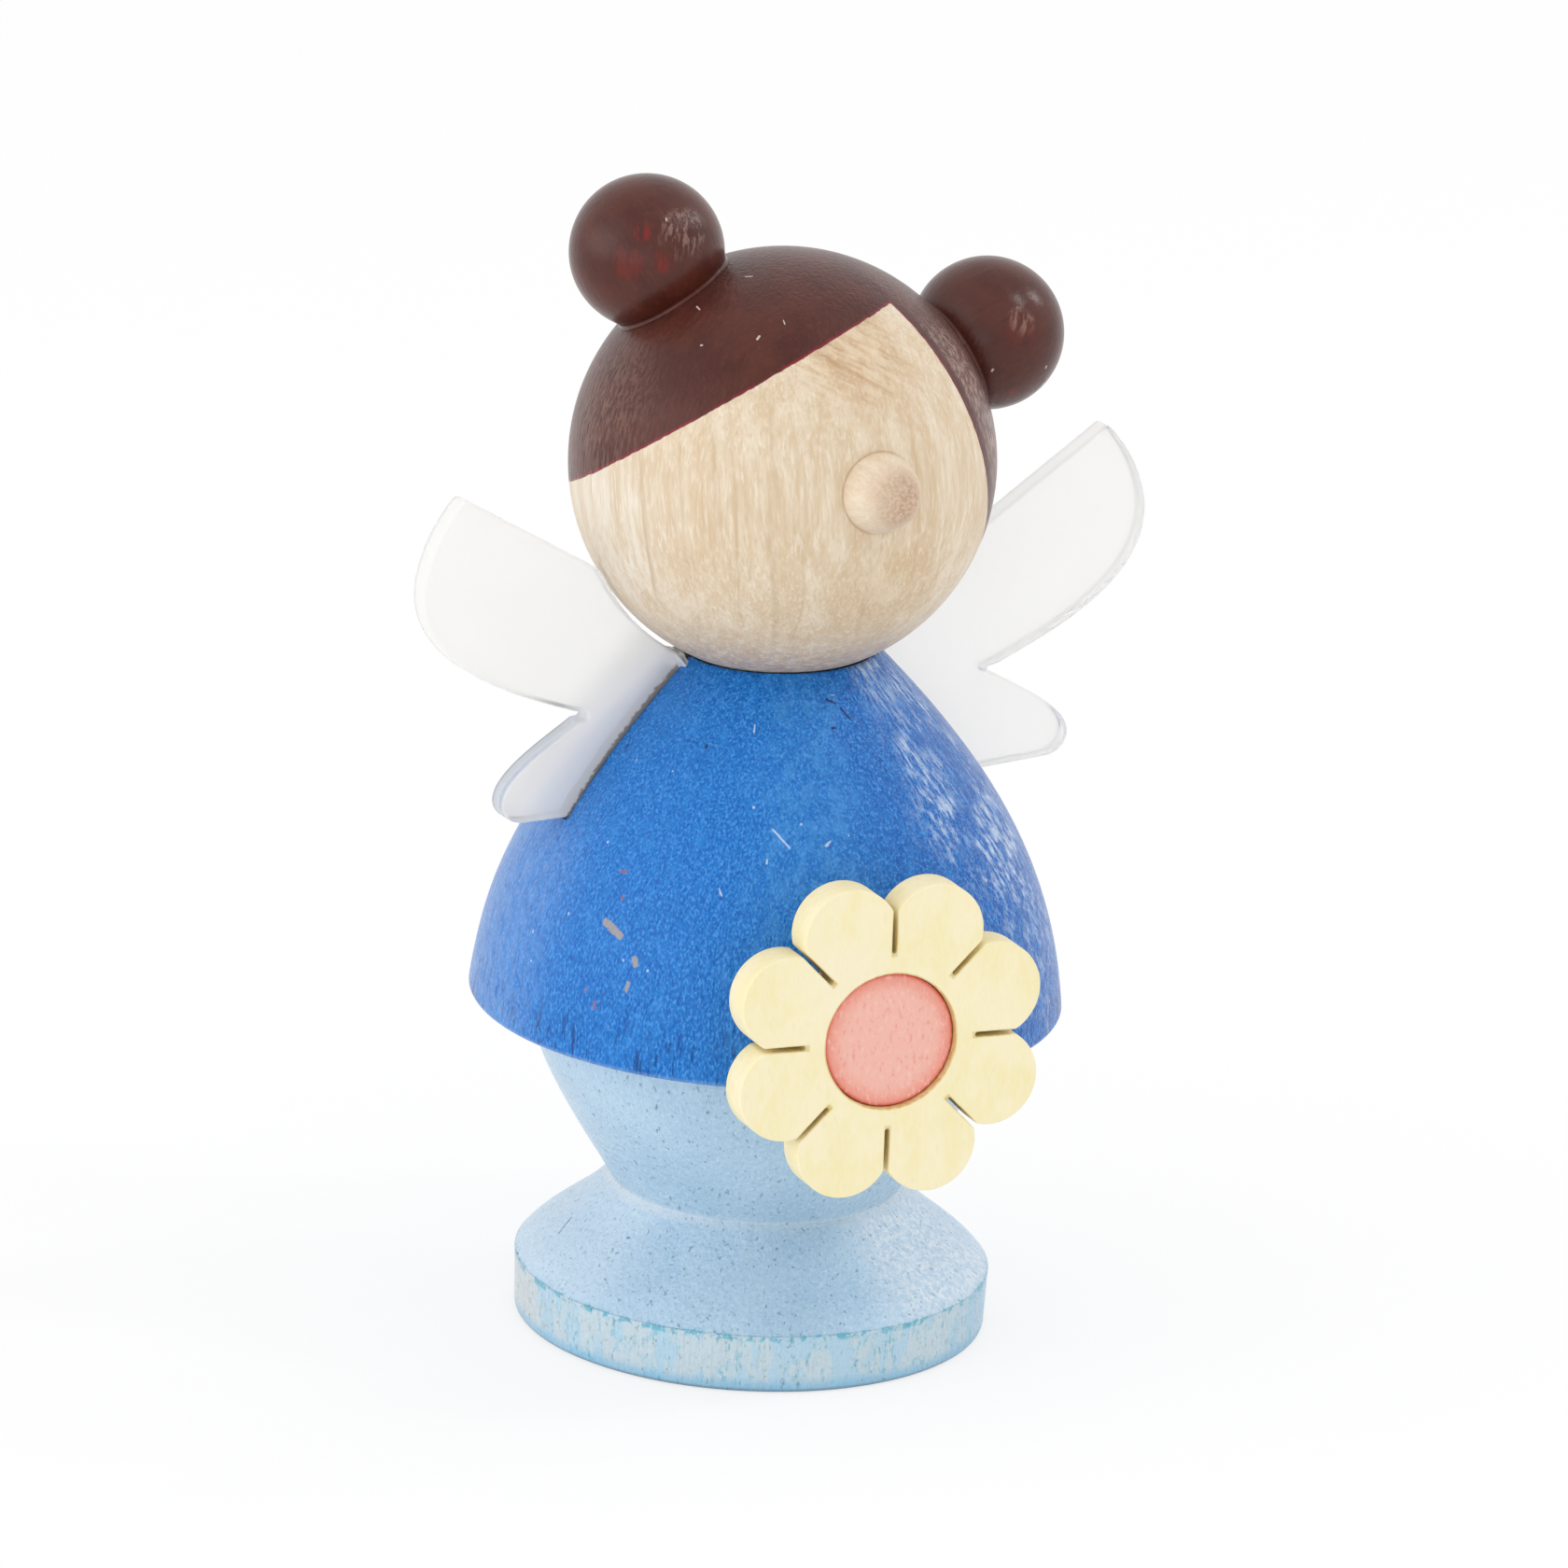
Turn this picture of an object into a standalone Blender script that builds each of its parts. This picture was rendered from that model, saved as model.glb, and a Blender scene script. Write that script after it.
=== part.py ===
"""A small turned wooden fairy with hair buns, plastic wings and a flower held before the hem.

Metres, +Z up. The origin is the centre of the foot's underside. The figure faces -Y, so its own
left hand is at +X. Everything is glued: nothing on the figure moves.
"""

import math

import bmesh
import bpy
from mathutils import Euler, Matrix, Vector

# Glue line left between any two pieces that seat on or in each other
GLUE_LINE = 0.0002

# Foot and skirt, turned in one piece
FOOT_BASE_RADIUS = 0.01225
FOOT_RIM_RADIUS = 0.01235
FOOT_RIM_HEIGHT = 0.0031
FOOT_SLOPE_HEIGHT = 0.0044
WAIST_RADIUS = 0.0076
SKIRT_HEIGHT = 0.00967
SKIRT_TOP_RADIUS = 0.01215

# Dress, a turned bell
HEM_RADIUS = 0.01534
# The turned blank's height and top radius, before the dish for the head is cut
DRESS_HEIGHT = 0.0189
NECK_RADIUS = 0.00482
# How much wider than the blank's top the dish is at that level, so that its edge is sharp all round
DISH_OVER_NECK = 0.00075

# Swell of the turned curves: two pull points each, as shares of the curve's width and height
SLOPE_PULLS = ((0.286, 0.375), (0.63, 0.477))
SKIRT_PULLS = ((0.149, 0.154), (1.048, 0.683))
DRESS_PULLS = ((0.0572, 0.3275), (0.2717, 0.6027))
NOSE_PULLS = ((0.05, 0.45), (0.55, 0.9))

# Broken edges of the turned pieces
RIM_EDGE = 0.0002
BASE_EDGE = 0.0003
HEM_EDGE = 0.0002

# Dowels between foot, dress and head
BODY_DOWEL_RADIUS = 0.003
BODY_DOWEL_IN_SKIRT = 0.007
BODY_DOWEL_IN_DRESS = 0.0065
NECK_DOWEL_RADIUS = 0.002
NECK_DOWEL_IN_DRESS = 0.0065
NECK_DOWEL_IN_HEAD = 0.006
DOWEL_CHAMFER = 0.0004

# Head: a ball, glued at a tilt and a little off the axis
HEAD_RADIUS = 0.0109
HEAD_SHIFT_X = -0.00045
HEAD_SHIFT_Y = 0.00025
HEAD_TURN = math.radians(-1.8)
HEAD_NOD = math.radians(-6.4)
HEAD_LEAN = math.radians(16.5)

# Hair paint: two dips, each up to a plane this far from the head's centre
DIP_DEPTH_RIGHT = 0.0045
DIP_DEPTH_LEFT = 0.00417
DIP_NORMAL_RIGHT = Vector((-0.631, 0.3, 0.715))
DIP_NORMAL_LEFT = Vector((0.741, 0.3, 0.601))

# Hair buns: balls sunk into flat-bottomed holes in the head
BUN_RADIUS = 0.00395
BUN_SINK = 0.0019
BUN_SPREAD_RIGHT = math.radians(48.0)
BUN_SPREAD_LEFT = math.radians(47.0)
BUN_BACK_RIGHT = math.radians(8.4)
BUN_BACK_LEFT = math.radians(-1.3)

# Nose: a tapered peg in a bore
NOSE_RADIUS = 0.00205
NOSE_TIP_RADIUS = 0.0014
NOSE_TIP_ROUND = 0.0003
NOSE_LENGTH = 0.0017
NOSE_IN_HEAD = 0.0035

# Wings: one outline for both, measured outward and upward from the root's lower corner
WING_THICKNESS = 0.0012
WING_SETBACK = 0.0012
WING_TIP = (0.01363, 0.0178)
WING_WIDEST = (0.01597, 0.01295)
WING_NOTCH = (0.00692, 0.00545)
WING_NOTCH_WIDTH = 0.0005
LOBE_END = (0.01157, 0.0014)
LOBE_FOOT = (0.0102, 0.00026)
LOBE_FOOT_PULLS = ((0.62, 0.02), (1.0, 0.49))
LOBE_BACK_PULLS = ((0.0, 0.41), (0.79, 0.83))
WING_UNDER_PULLS = ((0.305, 0.146), (1.0, 0.423))
WING_OUTER_PULLS = ((0.0, 0.146), (0.14, 0.583))
WING_SHOULDER_ANGLE = math.radians(-24.0)
WING_SHOULDER_ROUND = 0.0012
WING_TIP_ROUND = 0.0003

# Wing seats: root corner from the axis and above the hem, and how far the wing leans
SEAT_OUT_LEFT = 0.00615
SEAT_UP_LEFT = 0.01023
SEAT_LEAN_LEFT = math.radians(-2.5)
SEAT_OUT_RIGHT = 0.00386
SEAT_UP_RIGHT = 0.01074
SEAT_LEAN_RIGHT = math.radians(2.5)

# Flower: a laser-cut plate with a round inlay, glued to the hem
PETAL_COUNT = 8
FLOWER_RADIUS = 0.00845
PETAL_RADIUS = 0.0025
SLIT_WIDTH = 0.00025
SLIT_START_RADIUS = 0.00457
FLOWER_THICKNESS = 0.002
FLOWER_HOLE_RADIUS = 0.0035
FLOWER_CENTRE_THICKNESS = 0.0017
FLOWER_RISE = 0.00318
FLOWER_SHIFT = -0.00024
FLOWER_TURN = math.radians(-7.1)
FLOWER_TILT = math.radians(2.2)

# Smoothness of the solids
TURNED_STEPS = 56
BALL_SEGMENTS = 48
BALL_RINGS = 24
SMALL_SEGMENTS = 28
SHARP_ANGLE = math.radians(35)
PAINT_LINE_MERGE = 0.00005

# Points along each drawn curve
SLOPE_POINTS = 10
SKIRT_POINTS = 8
DRESS_POINTS = 18
NOSE_POINTS = 4
LOBE_FOOT_POINTS = 5
LOBE_BACK_POINTS = 7
WING_UNDER_POINTS = 10
WING_OUTER_POINTS = 6
PETAL_POINTS = 14

# Levels worked out from the sizes above
WAIST_Z = FOOT_RIM_HEIGHT + FOOT_SLOPE_HEIGHT
SKIRT_TOP_Z = WAIST_Z + SKIRT_HEIGHT
HEM_Z = SKIRT_TOP_Z + GLUE_LINE
NECK_Z = HEM_Z + DRESS_HEIGHT
DISH_RADIUS = HEAD_RADIUS + GLUE_LINE
DISH_RIM_RADIUS = NECK_RADIUS + DISH_OVER_NECK
HEAD_CENTRE = Vector((HEAD_SHIFT_X, HEAD_SHIFT_Y, NECK_Z + math.sqrt(DISH_RADIUS ** 2 - DISH_RIM_RADIUS ** 2)))
HEAD_TURNING = Euler((HEAD_NOD, HEAD_LEAN, HEAD_TURN), "YXZ")
HEAD_FRAME = Matrix.Translation(HEAD_CENTRE) @ HEAD_TURNING.to_matrix().to_4x4()


def clear_scene():
    for item in list(bpy.data.objects):
        bpy.data.objects.remove(item, do_unlink=True)


def new_collection(name):
    collection = bpy.data.collections.new(name)
    bpy.context.scene.collection.children.link(collection)
    return collection


def new_material(name, colour, roughness, metallic=0.0, alpha=1.0):
    material = bpy.data.materials.new(name)
    material.use_nodes = True
    shader = material.node_tree.nodes["Principled BSDF"]
    shader.inputs["Base Color"].default_value = (*colour, 1.0)
    shader.inputs["Roughness"].default_value = roughness
    shader.inputs["Metallic"].default_value = metallic
    shader.inputs["Alpha"].default_value = alpha
    material.diffuse_color = (*colour, alpha)
    return material


def new_object(name, mesh, collection, material=None):
    """Links a mesh as an object, shaded smooth but for its sharp edges."""
    item = bpy.data.objects.new(name, mesh)
    collection.objects.link(item)
    mesh.shade_smooth()
    mesh.set_sharp_from_angle(angle=SHARP_ANGLE)
    if material:
        mesh.materials.append(material)
    return item


def mesh_of(builder, name):
    mesh = bpy.data.meshes.new(name)
    builder.to_mesh(mesh)
    builder.free()
    return mesh


def cylinder_mesh(name, radius, bottom, top, segments=SMALL_SEGMENTS):
    builder = bmesh.new()
    bmesh.ops.create_cone(
        builder,
        cap_ends=True,
        segments=segments,
        radius1=radius,
        radius2=radius,
        depth=top - bottom,
        matrix=Matrix.Translation((0, 0, (top + bottom) / 2)),
    )
    return mesh_of(builder, name)


def ball_mesh(name, radius, segments=BALL_SEGMENTS, rings=BALL_RINGS):
    builder = bmesh.new()
    bmesh.ops.create_uvsphere(builder, u_segments=segments, v_segments=rings, radius=radius)
    return mesh_of(builder, name)


def cutter(name, mesh, frame):
    """A body that only cuts others: not rendered, and shown as wire."""
    item = bpy.data.objects.new(name, mesh)
    CUTTERS.objects.link(item)
    item.matrix_world = frame
    item.hide_render = True
    item.display_type = "WIRE"
    return item


def cut(item, tool):
    boolean = item.modifiers.new("cut by " + tool.name, "BOOLEAN")
    boolean.operation = "DIFFERENCE"
    boolean.object = tool


def curve_points(start, first_pull, second_pull, end, count):
    """Points along a cubic Bezier curve, without its start."""
    points = []
    for step in range(1, count + 1):
        t = step / count
        s = 1 - t
        weights = (s ** 3, 3 * s * s * t, 3 * s * t * t, t ** 3)
        corners = (start, first_pull, second_pull, end)
        points.append(tuple(sum(w * c[axis] for w, c in zip(weights, corners)) for axis in (0, 1)))
    return points


def part_way(start, end, across, along):
    """A pull point, given as shares of the step from start to end in each direction."""
    return (start[0] + across * (end[0] - start[0]), start[1] + along * (end[1] - start[1]))


def pulled_curve(start, pulls, end, count):
    """A curve from start to end, without its start, whose pulls are shares as in part_way."""
    first_pull, second_pull = (part_way(start, end, across, along) for across, along in pulls)
    return curve_points(start, first_pull, second_pull, end, count)


def rounded(before, corner, after, radius, count=4):
    """Points on the arc of that radius that rounds a corner of an outline."""
    corner = Vector(corner)
    to_before = (Vector(before) - corner).normalized()
    to_after = (Vector(after) - corner).normalized()
    half_angle = to_before.angle(to_after) / 2
    reach = radius / math.tan(half_angle)
    centre = corner + (to_before + to_after).normalized() * (radius / math.sin(half_angle))
    first = corner + to_before * reach - centre
    last = corner + to_after * reach - centre
    points = []
    for step in range(count + 1):
        t = step / count
        spoke = first.lerp(last, t).normalized() * radius
        points.append(tuple(centre + spoke))
    return points


def arc_points(centre, radius, start_angle, end_angle, count):
    points = []
    for step in range(count + 1):
        angle = start_angle + (end_angle - start_angle) * step / count
        points.append((centre[0] + radius * math.cos(angle), centre[1] + radius * math.sin(angle)))
    return points


def turned(name, profile, material, steps=TURNED_STEPS):
    """A lathe-turned solid: the profile of (radius, height) runs from the axis at the top, down
    the outer side, to the axis at the bottom."""
    mesh = bpy.data.meshes.new(name)
    vertices = [(radius, 0.0, height) for radius, height in profile]
    edges = [(index, index + 1) for index in range(len(profile) - 1)]
    mesh.from_pydata(vertices, edges, [])
    item = new_object(name, mesh, PARTS, material)
    screw = item.modifiers.new("turn", "SCREW")
    screw.axis = "Z"
    screw.steps = steps
    screw.render_steps = steps
    screw.use_merge_vertices = True
    screw.merge_threshold = 0.00001
    screw.use_smooth_shade = True
    return item


def flat_plate(name, outlines, thickness, material):
    """A plate cut from sheet, standing in the local XZ plane: each outline is a closed list of
    (across, up) points, and an outline inside another is a hole."""
    curve = bpy.data.curves.new(name, "CURVE")
    curve.dimensions = "2D"
    curve.fill_mode = "BOTH"
    curve.extrude = thickness / 2
    for outline in outlines:
        spline = curve.splines.new("POLY")
        spline.points.add(len(outline) - 1)
        for point, (across, up) in zip(spline.points, outline):
            point.co = (across, up, 0.0, 1.0)
        spline.use_cyclic_u = True
    drawn = bpy.data.objects.new(name + " outline", curve)
    PARTS.objects.link(drawn)
    bpy.context.view_layer.update()
    evaluated = drawn.evaluated_get(bpy.context.evaluated_depsgraph_get())
    mesh = bpy.data.meshes.new_from_object(evaluated)
    bpy.data.objects.remove(drawn, do_unlink=True)
    builder = bmesh.new()
    builder.from_mesh(mesh)
    bmesh.ops.remove_doubles(builder, verts=builder.verts, dist=0.000001)
    bmesh.ops.transform(builder, matrix=Matrix.Rotation(math.radians(90), 4, "X"), verts=builder.verts)
    bmesh.ops.recalc_face_normals(builder, faces=builder.faces)
    builder.to_mesh(mesh)
    builder.free()
    mesh.name = name
    return new_object(name, mesh, PARTS, material)


def dowel(name, radius, bottom, top, material):
    """A round pin on the axis with chamfered ends."""
    profile = [
        (0.0, top),
        (radius - DOWEL_CHAMFER, top),
        (radius, top - DOWEL_CHAMFER),
        (radius, bottom + DOWEL_CHAMFER),
        (radius - DOWEL_CHAMFER, bottom),
        (0.0, bottom),
    ]
    return turned(name, profile, material, SMALL_SEGMENTS)


def make_foot_skirt(material):
    """Foot disc with a sloping top, waist and swelling skirt, bored for the body dowel."""
    rim = (FOOT_RIM_RADIUS, FOOT_RIM_HEIGHT)
    waist = (WAIST_RADIUS, WAIST_Z)
    top = (SKIRT_TOP_RADIUS, SKIRT_TOP_Z)
    base = (FOOT_BASE_RADIUS, 0.0)
    skirt = pulled_curve(waist, SKIRT_PULLS, top, SKIRT_POINTS)
    slope = pulled_curve(rim, SLOPE_PULLS, waist, SLOPE_POINTS)
    profile = [(0.0, SKIRT_TOP_Z)]
    profile += rounded((0.0, SKIRT_TOP_Z), top, skirt[-2], RIM_EDGE, 2)
    profile += skirt[-2::-1]
    profile += slope[::-1]
    profile += rounded(slope[0], rim, base, RIM_EDGE, 3)
    profile += rounded(rim, base, (0.0, 0.0), BASE_EDGE, 3)
    profile.append((0.0, 0.0))
    foot = turned("foot_skirt", profile, material)
    bore_floor = SKIRT_TOP_Z - BODY_DOWEL_IN_SKIRT - GLUE_LINE
    bore = cylinder_mesh("skirt_bore", BODY_DOWEL_RADIUS + GLUE_LINE, bore_floor, SKIRT_TOP_Z + BODY_DOWEL_IN_SKIRT)
    cut(foot, cutter("skirt_bore", bore, Matrix.Identity(4)))
    return foot


def make_dress(material, kerfs):
    """Turned bell, bored for both dowels, dished for the head and sawn for the wings."""
    hem = (HEM_RADIUS, HEM_Z)
    neck = (NECK_RADIUS, NECK_Z)
    side = pulled_curve(hem, DRESS_PULLS, neck, DRESS_POINTS)
    profile = [(0.0, NECK_Z)]
    profile += side[::-1]
    profile += rounded(side[0], hem, (0.0, HEM_Z), HEM_EDGE, 3)
    profile.append((0.0, HEM_Z))
    dress = turned("dress", profile, material)
    body_bore_top = HEM_Z + BODY_DOWEL_IN_DRESS + GLUE_LINE
    body_bore = cylinder_mesh(
        "dress_body_bore", BODY_DOWEL_RADIUS + GLUE_LINE, HEM_Z - BODY_DOWEL_IN_DRESS, body_bore_top
    )
    cut(dress, cutter("dress_body_bore", body_bore, Matrix.Identity(4)))
    dish_floor = HEAD_CENTRE.z - DISH_RADIUS
    neck_bore = cylinder_mesh(
        "dress_neck_bore",
        NECK_DOWEL_RADIUS + GLUE_LINE,
        dish_floor - NECK_DOWEL_IN_DRESS - GLUE_LINE,
        NECK_Z + NECK_DOWEL_IN_HEAD,
    )
    cut(dress, cutter("dress_neck_bore", neck_bore, Matrix.Identity(4)))
    dish = ball_mesh("dress_dish", DISH_RADIUS)
    cut(dress, cutter("dress_dish", dish, Matrix.Translation(HEAD_CENTRE)))
    for kerf in kerfs:
        cut(dress, kerf)
    return dress


def make_body_dowel(material):
    bottom = SKIRT_TOP_Z - BODY_DOWEL_IN_SKIRT
    top = HEM_Z + BODY_DOWEL_IN_DRESS
    return dowel("body_dowel", BODY_DOWEL_RADIUS, bottom, top, material)


def make_neck_dowel(material):
    dish_floor = HEAD_CENTRE.z - DISH_RADIUS
    head_floor = HEAD_CENTRE.z - HEAD_RADIUS
    bottom = dish_floor - NECK_DOWEL_IN_DRESS
    top = head_floor + NECK_DOWEL_IN_HEAD
    return dowel("neck_dowel", NECK_DOWEL_RADIUS, bottom, top, material)


def bun_direction(side, spread, back):
    """Unit vector in the head's frame from its centre to a bun; side is -1 for the right bun."""
    return Vector(
        (side * math.sin(spread) * math.cos(back), math.sin(back), math.cos(spread) * math.cos(back))
    )


def bun_frame(direction):
    """World frame with its +Z from the head's centre out through a bun."""
    return HEAD_FRAME @ direction.to_track_quat("Z", "Y").to_matrix().to_4x4()


def painted_ball(name, radius):
    """The head's ball, with the faces beyond each dip plane given the hair paint's slot."""
    builder = bmesh.new()
    bmesh.ops.create_uvsphere(builder, u_segments=BALL_SEGMENTS, v_segments=BALL_RINGS, radius=radius)
    dips = ((DIP_NORMAL_RIGHT.normalized(), DIP_DEPTH_RIGHT), (DIP_NORMAL_LEFT.normalized(), DIP_DEPTH_LEFT))
    for normal, depth in dips:
        everything = builder.verts[:] + builder.edges[:] + builder.faces[:]
        bmesh.ops.bisect_plane(builder, geom=everything, plane_co=normal * depth, plane_no=normal)
    bmesh.ops.remove_doubles(builder, verts=builder.verts, dist=PAINT_LINE_MERGE)
    for face in builder.faces:
        centre = face.calc_center_median()
        if any(centre.dot(normal) > depth for normal, depth in dips):
            face.material_index = 1
    return mesh_of(builder, name)


def make_head(wood, hair, bun_places):
    """Ball with a bore for the neck dowel, one for the nose and a flat-bottomed hole for each bun."""
    head = new_object("head", painted_ball("head", HEAD_RADIUS), PARTS, wood)
    head.data.materials.append(hair)
    head.matrix_world = HEAD_FRAME
    bore_top = HEAD_CENTRE.z - HEAD_RADIUS + NECK_DOWEL_IN_HEAD + GLUE_LINE
    neck_bore = cylinder_mesh("head_neck_bore", NECK_DOWEL_RADIUS + GLUE_LINE, HEM_Z, bore_top)
    cut(head, cutter("head_neck_bore", neck_bore, Matrix.Identity(4)))
    nose_floor = HEAD_RADIUS - NOSE_IN_HEAD - GLUE_LINE
    nose_bore = cylinder_mesh("head_nose_bore", NOSE_RADIUS + GLUE_LINE, nose_floor, HEAD_RADIUS + NOSE_LENGTH)
    cut(head, cutter("head_nose_bore", nose_bore, nose_frame()))
    for name, frame in bun_places.items():
        seat_floor = HEAD_RADIUS - BUN_SINK - GLUE_LINE
        seat = cylinder_mesh(name + "_seat", bun_seat_radius(), seat_floor, HEAD_RADIUS + BUN_RADIUS, BALL_SEGMENTS)
        cut(head, cutter(name + "_seat", seat, frame))
    return head


def bun_distance():
    return HEAD_RADIUS - BUN_SINK + BUN_RADIUS


def bun_seat_radius():
    """The hole is as wide as the ball is where it passes the head's surface."""
    distance = bun_distance()
    below_centre = (distance ** 2 + BUN_RADIUS ** 2 - HEAD_RADIUS ** 2) / (2 * distance)
    return math.sqrt(BUN_RADIUS ** 2 - below_centre ** 2) + GLUE_LINE


def make_bun(name, frame, material):
    bun = new_object(name, ball_mesh(name, BUN_RADIUS, SMALL_SEGMENTS, SMALL_SEGMENTS // 2), PARTS, material)
    bun.matrix_world = frame @ Matrix.Translation((0, 0, bun_distance()))
    return bun


def nose_frame():
    """World frame at the head's centre with its +Z out through the nose."""
    return HEAD_FRAME @ Matrix.Rotation(math.radians(90), 4, "X")


def make_nose(material):
    """Tapered peg with a rounded tip; its lower part sits in the head's bore."""
    tip = HEAD_RADIUS + NOSE_LENGTH
    tip_corner = (NOSE_TIP_RADIUS, tip)
    face = (NOSE_RADIUS, HEAD_RADIUS)
    floor = HEAD_RADIUS - NOSE_IN_HEAD
    side = pulled_curve(face, NOSE_PULLS, tip_corner, NOSE_POINTS)
    profile = [(0.0, tip)]
    profile += rounded((0.0, tip), tip_corner, side[-2], NOSE_TIP_ROUND, 4)
    profile += side[-2::-1]
    profile += [face, (NOSE_RADIUS, floor), (0.0, floor)]
    nose = turned("nose", profile, material, SMALL_SEGMENTS)
    nose.matrix_world = nose_frame()
    return nose


def wing_seat(side, out, up, lean):
    """World frame at a wing root's lower corner: +X runs outward, +Z up along the wing."""
    facing = Matrix.Identity(4) if side > 0 else Matrix.Rotation(math.radians(180), 4, "Z")
    place = Matrix.Translation((side * out, WING_SETBACK, HEM_Z + up))
    return place @ facing @ Matrix.Rotation(lean, 4, "Y")


def wing_outline(head_centre):
    """Closed outline of a wing; head_centre is the head's centre in the wing's own plane, which
    the inner edge goes round."""
    root = (0.0, 0.0)
    clear_radius = HEAD_RADIUS + GLUE_LINE
    lip = WING_NOTCH_WIDTH / 2
    notch_low = (WING_NOTCH[0] + lip, WING_NOTCH[1] - lip)
    notch_high = (WING_NOTCH[0] + lip, WING_NOTCH[1] + lip)
    shoulder = arc_points(head_centre, clear_radius, WING_SHOULDER_ANGLE, WING_SHOULDER_ANGLE, 1)[0]
    root_angle = -math.acos(-head_centre[0] / clear_radius)
    round_angle = WING_SHOULDER_ROUND / clear_radius
    outline = [root, LOBE_FOOT]
    outline += pulled_curve(LOBE_FOOT, LOBE_FOOT_PULLS, LOBE_END, LOBE_FOOT_POINTS)
    outline += pulled_curve(LOBE_END, LOBE_BACK_PULLS, notch_low, LOBE_BACK_POINTS)
    outline += arc_points(WING_NOTCH, lip, math.radians(-120), math.radians(-240), 3)
    outline += pulled_curve(notch_high, WING_UNDER_PULLS, WING_WIDEST, WING_UNDER_POINTS)
    outer = pulled_curve(WING_WIDEST, WING_OUTER_PULLS, WING_TIP, WING_OUTER_POINTS)
    outline += outer[:-1]
    outline += rounded(outer[-2], WING_TIP, shoulder, WING_TIP_ROUND, 2)
    along_arc = arc_points(head_centre, clear_radius, WING_SHOULDER_ANGLE - round_angle, root_angle, 6)
    outline += rounded(WING_TIP, shoulder, along_arc[0], WING_SHOULDER_ROUND, 3)
    outline += along_arc[1:]
    return outline


def make_wing(name, seat, outline, material):
    wing = flat_plate(name, [outline], WING_THICKNESS, material)
    wing.matrix_world = seat
    return wing


def make_kerf(name, seat):
    """Saw cut for a wing's root, open at the neck and at the dress's side."""
    builder = bmesh.new()
    bmesh.ops.create_cube(builder, size=1.0)
    reach = 2 * HEM_RADIUS
    width = WING_THICKNESS + 2 * GLUE_LINE
    bmesh.ops.scale(builder, vec=(reach, width, reach), verts=builder.verts)
    bmesh.ops.translate(
        builder, vec=(reach / 2 - GLUE_LINE, 0.0, reach / 2 - GLUE_LINE), verts=builder.verts
    )
    return cutter(name, mesh_of(builder, name), seat)


def petal_outline():
    """Eight round petals parted by narrow slits. Each petal's arc starts and ends on the walls of
    the slits beside it."""
    half_slit = SLIT_WIDTH / 2
    half_pitch = math.pi / PETAL_COUNT
    centre_radius = FLOWER_RADIUS - PETAL_RADIUS
    wall_offset = centre_radius * math.sin(half_pitch) - half_slit
    swing = math.pi / 2 - half_pitch + math.acos(wall_offset / PETAL_RADIUS)
    outline = []
    for petal in range(PETAL_COUNT):
        middle = 2 * half_pitch * petal + half_pitch
        centre = (centre_radius * math.cos(middle), centre_radius * math.sin(middle))
        first = middle - math.pi + swing
        last = middle + math.pi - swing
        outline += arc_points(centre, PETAL_RADIUS, first, last, PETAL_POINTS)
        slit = middle + half_pitch
        floor = (SLIT_START_RADIUS + half_slit) * Vector((math.cos(slit), math.sin(slit)))
        outline += arc_points(floor, half_slit, slit - math.pi / 2, slit - 3 * math.pi / 2, 4)
    return outline


def flower_frame():
    """World frame at the middle of the flower plate's back: +X across, +Z up, -Y out. The back
    just clears the hem."""
    height = HEM_Z + FLOWER_RISE
    touch = HEM_RADIUS * math.cos(FLOWER_TILT) + HEM_Z * math.sin(FLOWER_TILT) + GLUE_LINE
    out = (touch - height * math.sin(FLOWER_TILT)) / math.cos(FLOWER_TILT)
    place = Matrix.Rotation(FLOWER_TURN, 4, "Z") @ Matrix.Translation((FLOWER_SHIFT, -out, height))
    return place @ Matrix.Rotation(-FLOWER_TILT, 4, "X")


def make_flower(petal_material, centre_material):
    hole = arc_points((0, 0), FLOWER_HOLE_RADIUS, 0, 2 * math.pi * (1 - 1 / BALL_SEGMENTS), BALL_SEGMENTS - 1)
    petals = flat_plate("flower_petals", [petal_outline(), hole], FLOWER_THICKNESS, petal_material)
    petals.matrix_world = flower_frame() @ Matrix.Translation((0, -FLOWER_THICKNESS / 2, 0))
    disc_radius = FLOWER_HOLE_RADIUS - GLUE_LINE
    disc = cylinder_mesh("flower_centre", disc_radius, 0.0, FLOWER_CENTRE_THICKNESS, BALL_SEGMENTS)
    centre = new_object("flower_centre", disc, PARTS, centre_material)
    centre.matrix_world = flower_frame() @ Matrix.Rotation(math.radians(90), 4, "X")
    return petals, centre


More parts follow.
